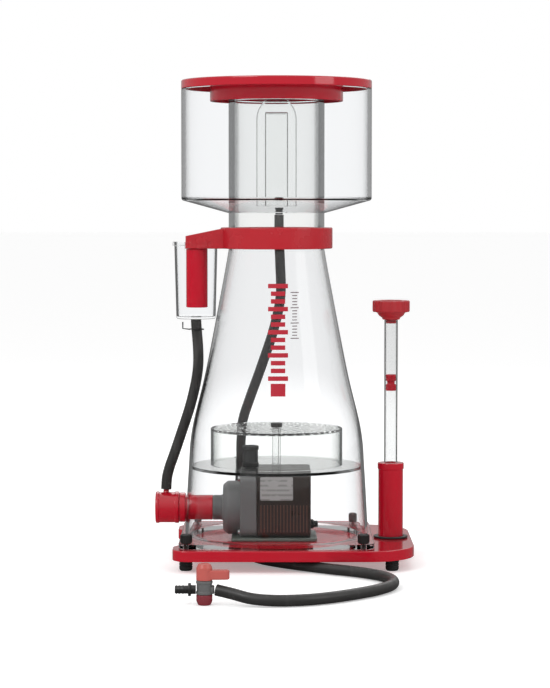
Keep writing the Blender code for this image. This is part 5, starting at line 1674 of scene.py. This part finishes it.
@dataclass
class Stage:
    """White floor, soft studio light and the camera."""

    distance: float = 2.467
    camera_height: float = 0.372
    tilt_degrees: float = 3.365
    focal_length: float = 123.39
    floor_size: float = 60.0
    light_bounces: int = 32
    lamps: tuple[tuple[str, Point, float, float], ...] = (
        ("key_light", (-1.3, -1.5, 1.7), 1.1, 20.0), ("fill_light", (1.6, -1.0, 1.0), 0.9, 6.0),
        ("back_light", (0.3, 1.8, 1.6), 1.4, 10.0))
    sky: float = 0.72
    horizon: float = 0.38
    floor_glow: float = 0.30

    def build(self) -> None:
        """Set the floor, the lights and the camera."""
        scene = bpy.context.scene
        scene.view_settings.view_transform = "Standard"
        scene.cycles.max_bounces = self.light_bounces
        scene.cycles.transmission_bounces = self.light_bounces
        scene.cycles.transparent_max_bounces = self.light_bounces
        self._floor()
        self._sky(scene)
        for name, spot, size, power in self.lamps:
            self._lamp(name, spot, size, power)
        self._camera(scene)

    def _floor(self) -> None:
        """A wide white floor under the feet, dull in the mirror image that the pieces show of it."""
        mesh = bpy.data.meshes.new("studio_floor")
        shape = bmesh.new()
        bmesh.ops.create_grid(shape, x_segments=1, y_segments=1, size=self.floor_size / 2,
                              matrix=Matrix.Translation((0, 0, -0.0002)))
        shape.to_mesh(mesh)
        shape.free()
        paper = bpy.data.materials.new("studio_paper")
        paper.use_nodes = True
        work = Shading(paper.node_tree)
        rays = work.node("ShaderNodeLightPath").outputs
        through = work.between(rays["Is Transmission Ray"], 0.0, 1.0, 1.0, 0.0)
        mirror = work.math("MAXIMUM", work.times(rays["Is Glossy Ray"], through),
                           work.between(rays["Glossy Depth"], 0.0, 1.0))
        shader = paper.node_tree.nodes["Principled BSDF"]
        tone = work.mix(mirror, (0.93, 0.93, 0.93, 1), (0.16, 0.16, 0.16, 1))
        work.tree.links.new(tone, shader.inputs["Base Color"])
        work.tree.links.new(work.between(mirror, 0.0, 1.0, self.floor_glow, 0.0),
                            shader.inputs["Emission Strength"])
        shader.inputs["Roughness"].default_value = 0.9
        shader.inputs["Specular IOR Level"].default_value = 0.1
        shader.inputs["Emission Color"].default_value = (1.0, 1.0, 1.0, 1)
        mesh.materials.append(paper)
        loose_object("studio_floor", mesh)

    def _sky(self, scene: bpy.types.Scene) -> None:
        """A white surround whose mirror image fades towards the horizon, as black flags make it."""
        world = bpy.data.worlds.new("studio_surround")
        world.use_nodes = True
        work = Shading(world.node_tree)
        rays = work.node("ShaderNodeLightPath").outputs
        place = work.node("ShaderNodeTexCoord").outputs["Generated"]
        height = work.node("ShaderNodeSeparateXYZ", {0: place}).outputs[2]
        mirrored = work.between(height, 0.05, 0.9, self.horizon, 1.0)
        lit = work.between(rays["Is Glossy Ray"], 0.0, 1.0, self.sky, mirrored)
        through = work.between(rays["Glossy Depth"], 0.0, 1.0, 1.0, mirrored)
        seen = work.math("MAXIMUM", rays["Is Camera Ray"], rays["Is Transmission Ray"])
        background = world.node_tree.nodes["Background"]
        background.inputs["Color"].default_value = (1.0, 1.0, 1.0, 1)
        work.tree.links.new(work.between(seen, 0.0, 1.0, lit, through), background.inputs["Strength"])
        scene.world = world

    def _lamp(self, name: str, spot: Point, size: float, power: float) -> None:
        """A square soft light that looks at the middle of the tower."""
        light = bpy.data.lights.new(name, "AREA")
        light.size = size
        light.energy = power
        lamp = loose_object(name, light)
        lamp.location = spot
        lamp.visible_camera = False
        lamp.visible_transmission = False
        towards = Vector((0, 0, 0.22)) - Vector(spot)
        lamp.rotation_euler = towards.to_track_quat("-Z", "Y").to_euler()

    def _camera(self, scene: bpy.types.Scene) -> None:
        """The camera, a little above the middle, looking along +Y."""
        lens = bpy.data.cameras.new("studio_camera")
        lens.lens = self.focal_length
        lens.sensor_width = 36.0
        camera = loose_object("studio_camera", lens)
        camera.location = (middle("body_shell").x - 0.0016, -self.distance, self.camera_height)
        camera.rotation_euler = (math.radians(90 - self.tilt_degrees), 0, 0)
        scene.camera = camera


def main() -> None:
    """Build the stage, then each sub-assembly in turn."""
    logging.basicConfig(level=logging.INFO, format="%(name)s: %(message)s")
    Stage().build()
    for assembly in (DrainLine(), Silencer(), Base(), Bell(), Collar(), Cup(), Intake(), Pump(),
                     Regulator()):
        LOG.info("building %s", type(assembly).__name__)
        assembly.build()


if __name__ == "__main__":
    main()
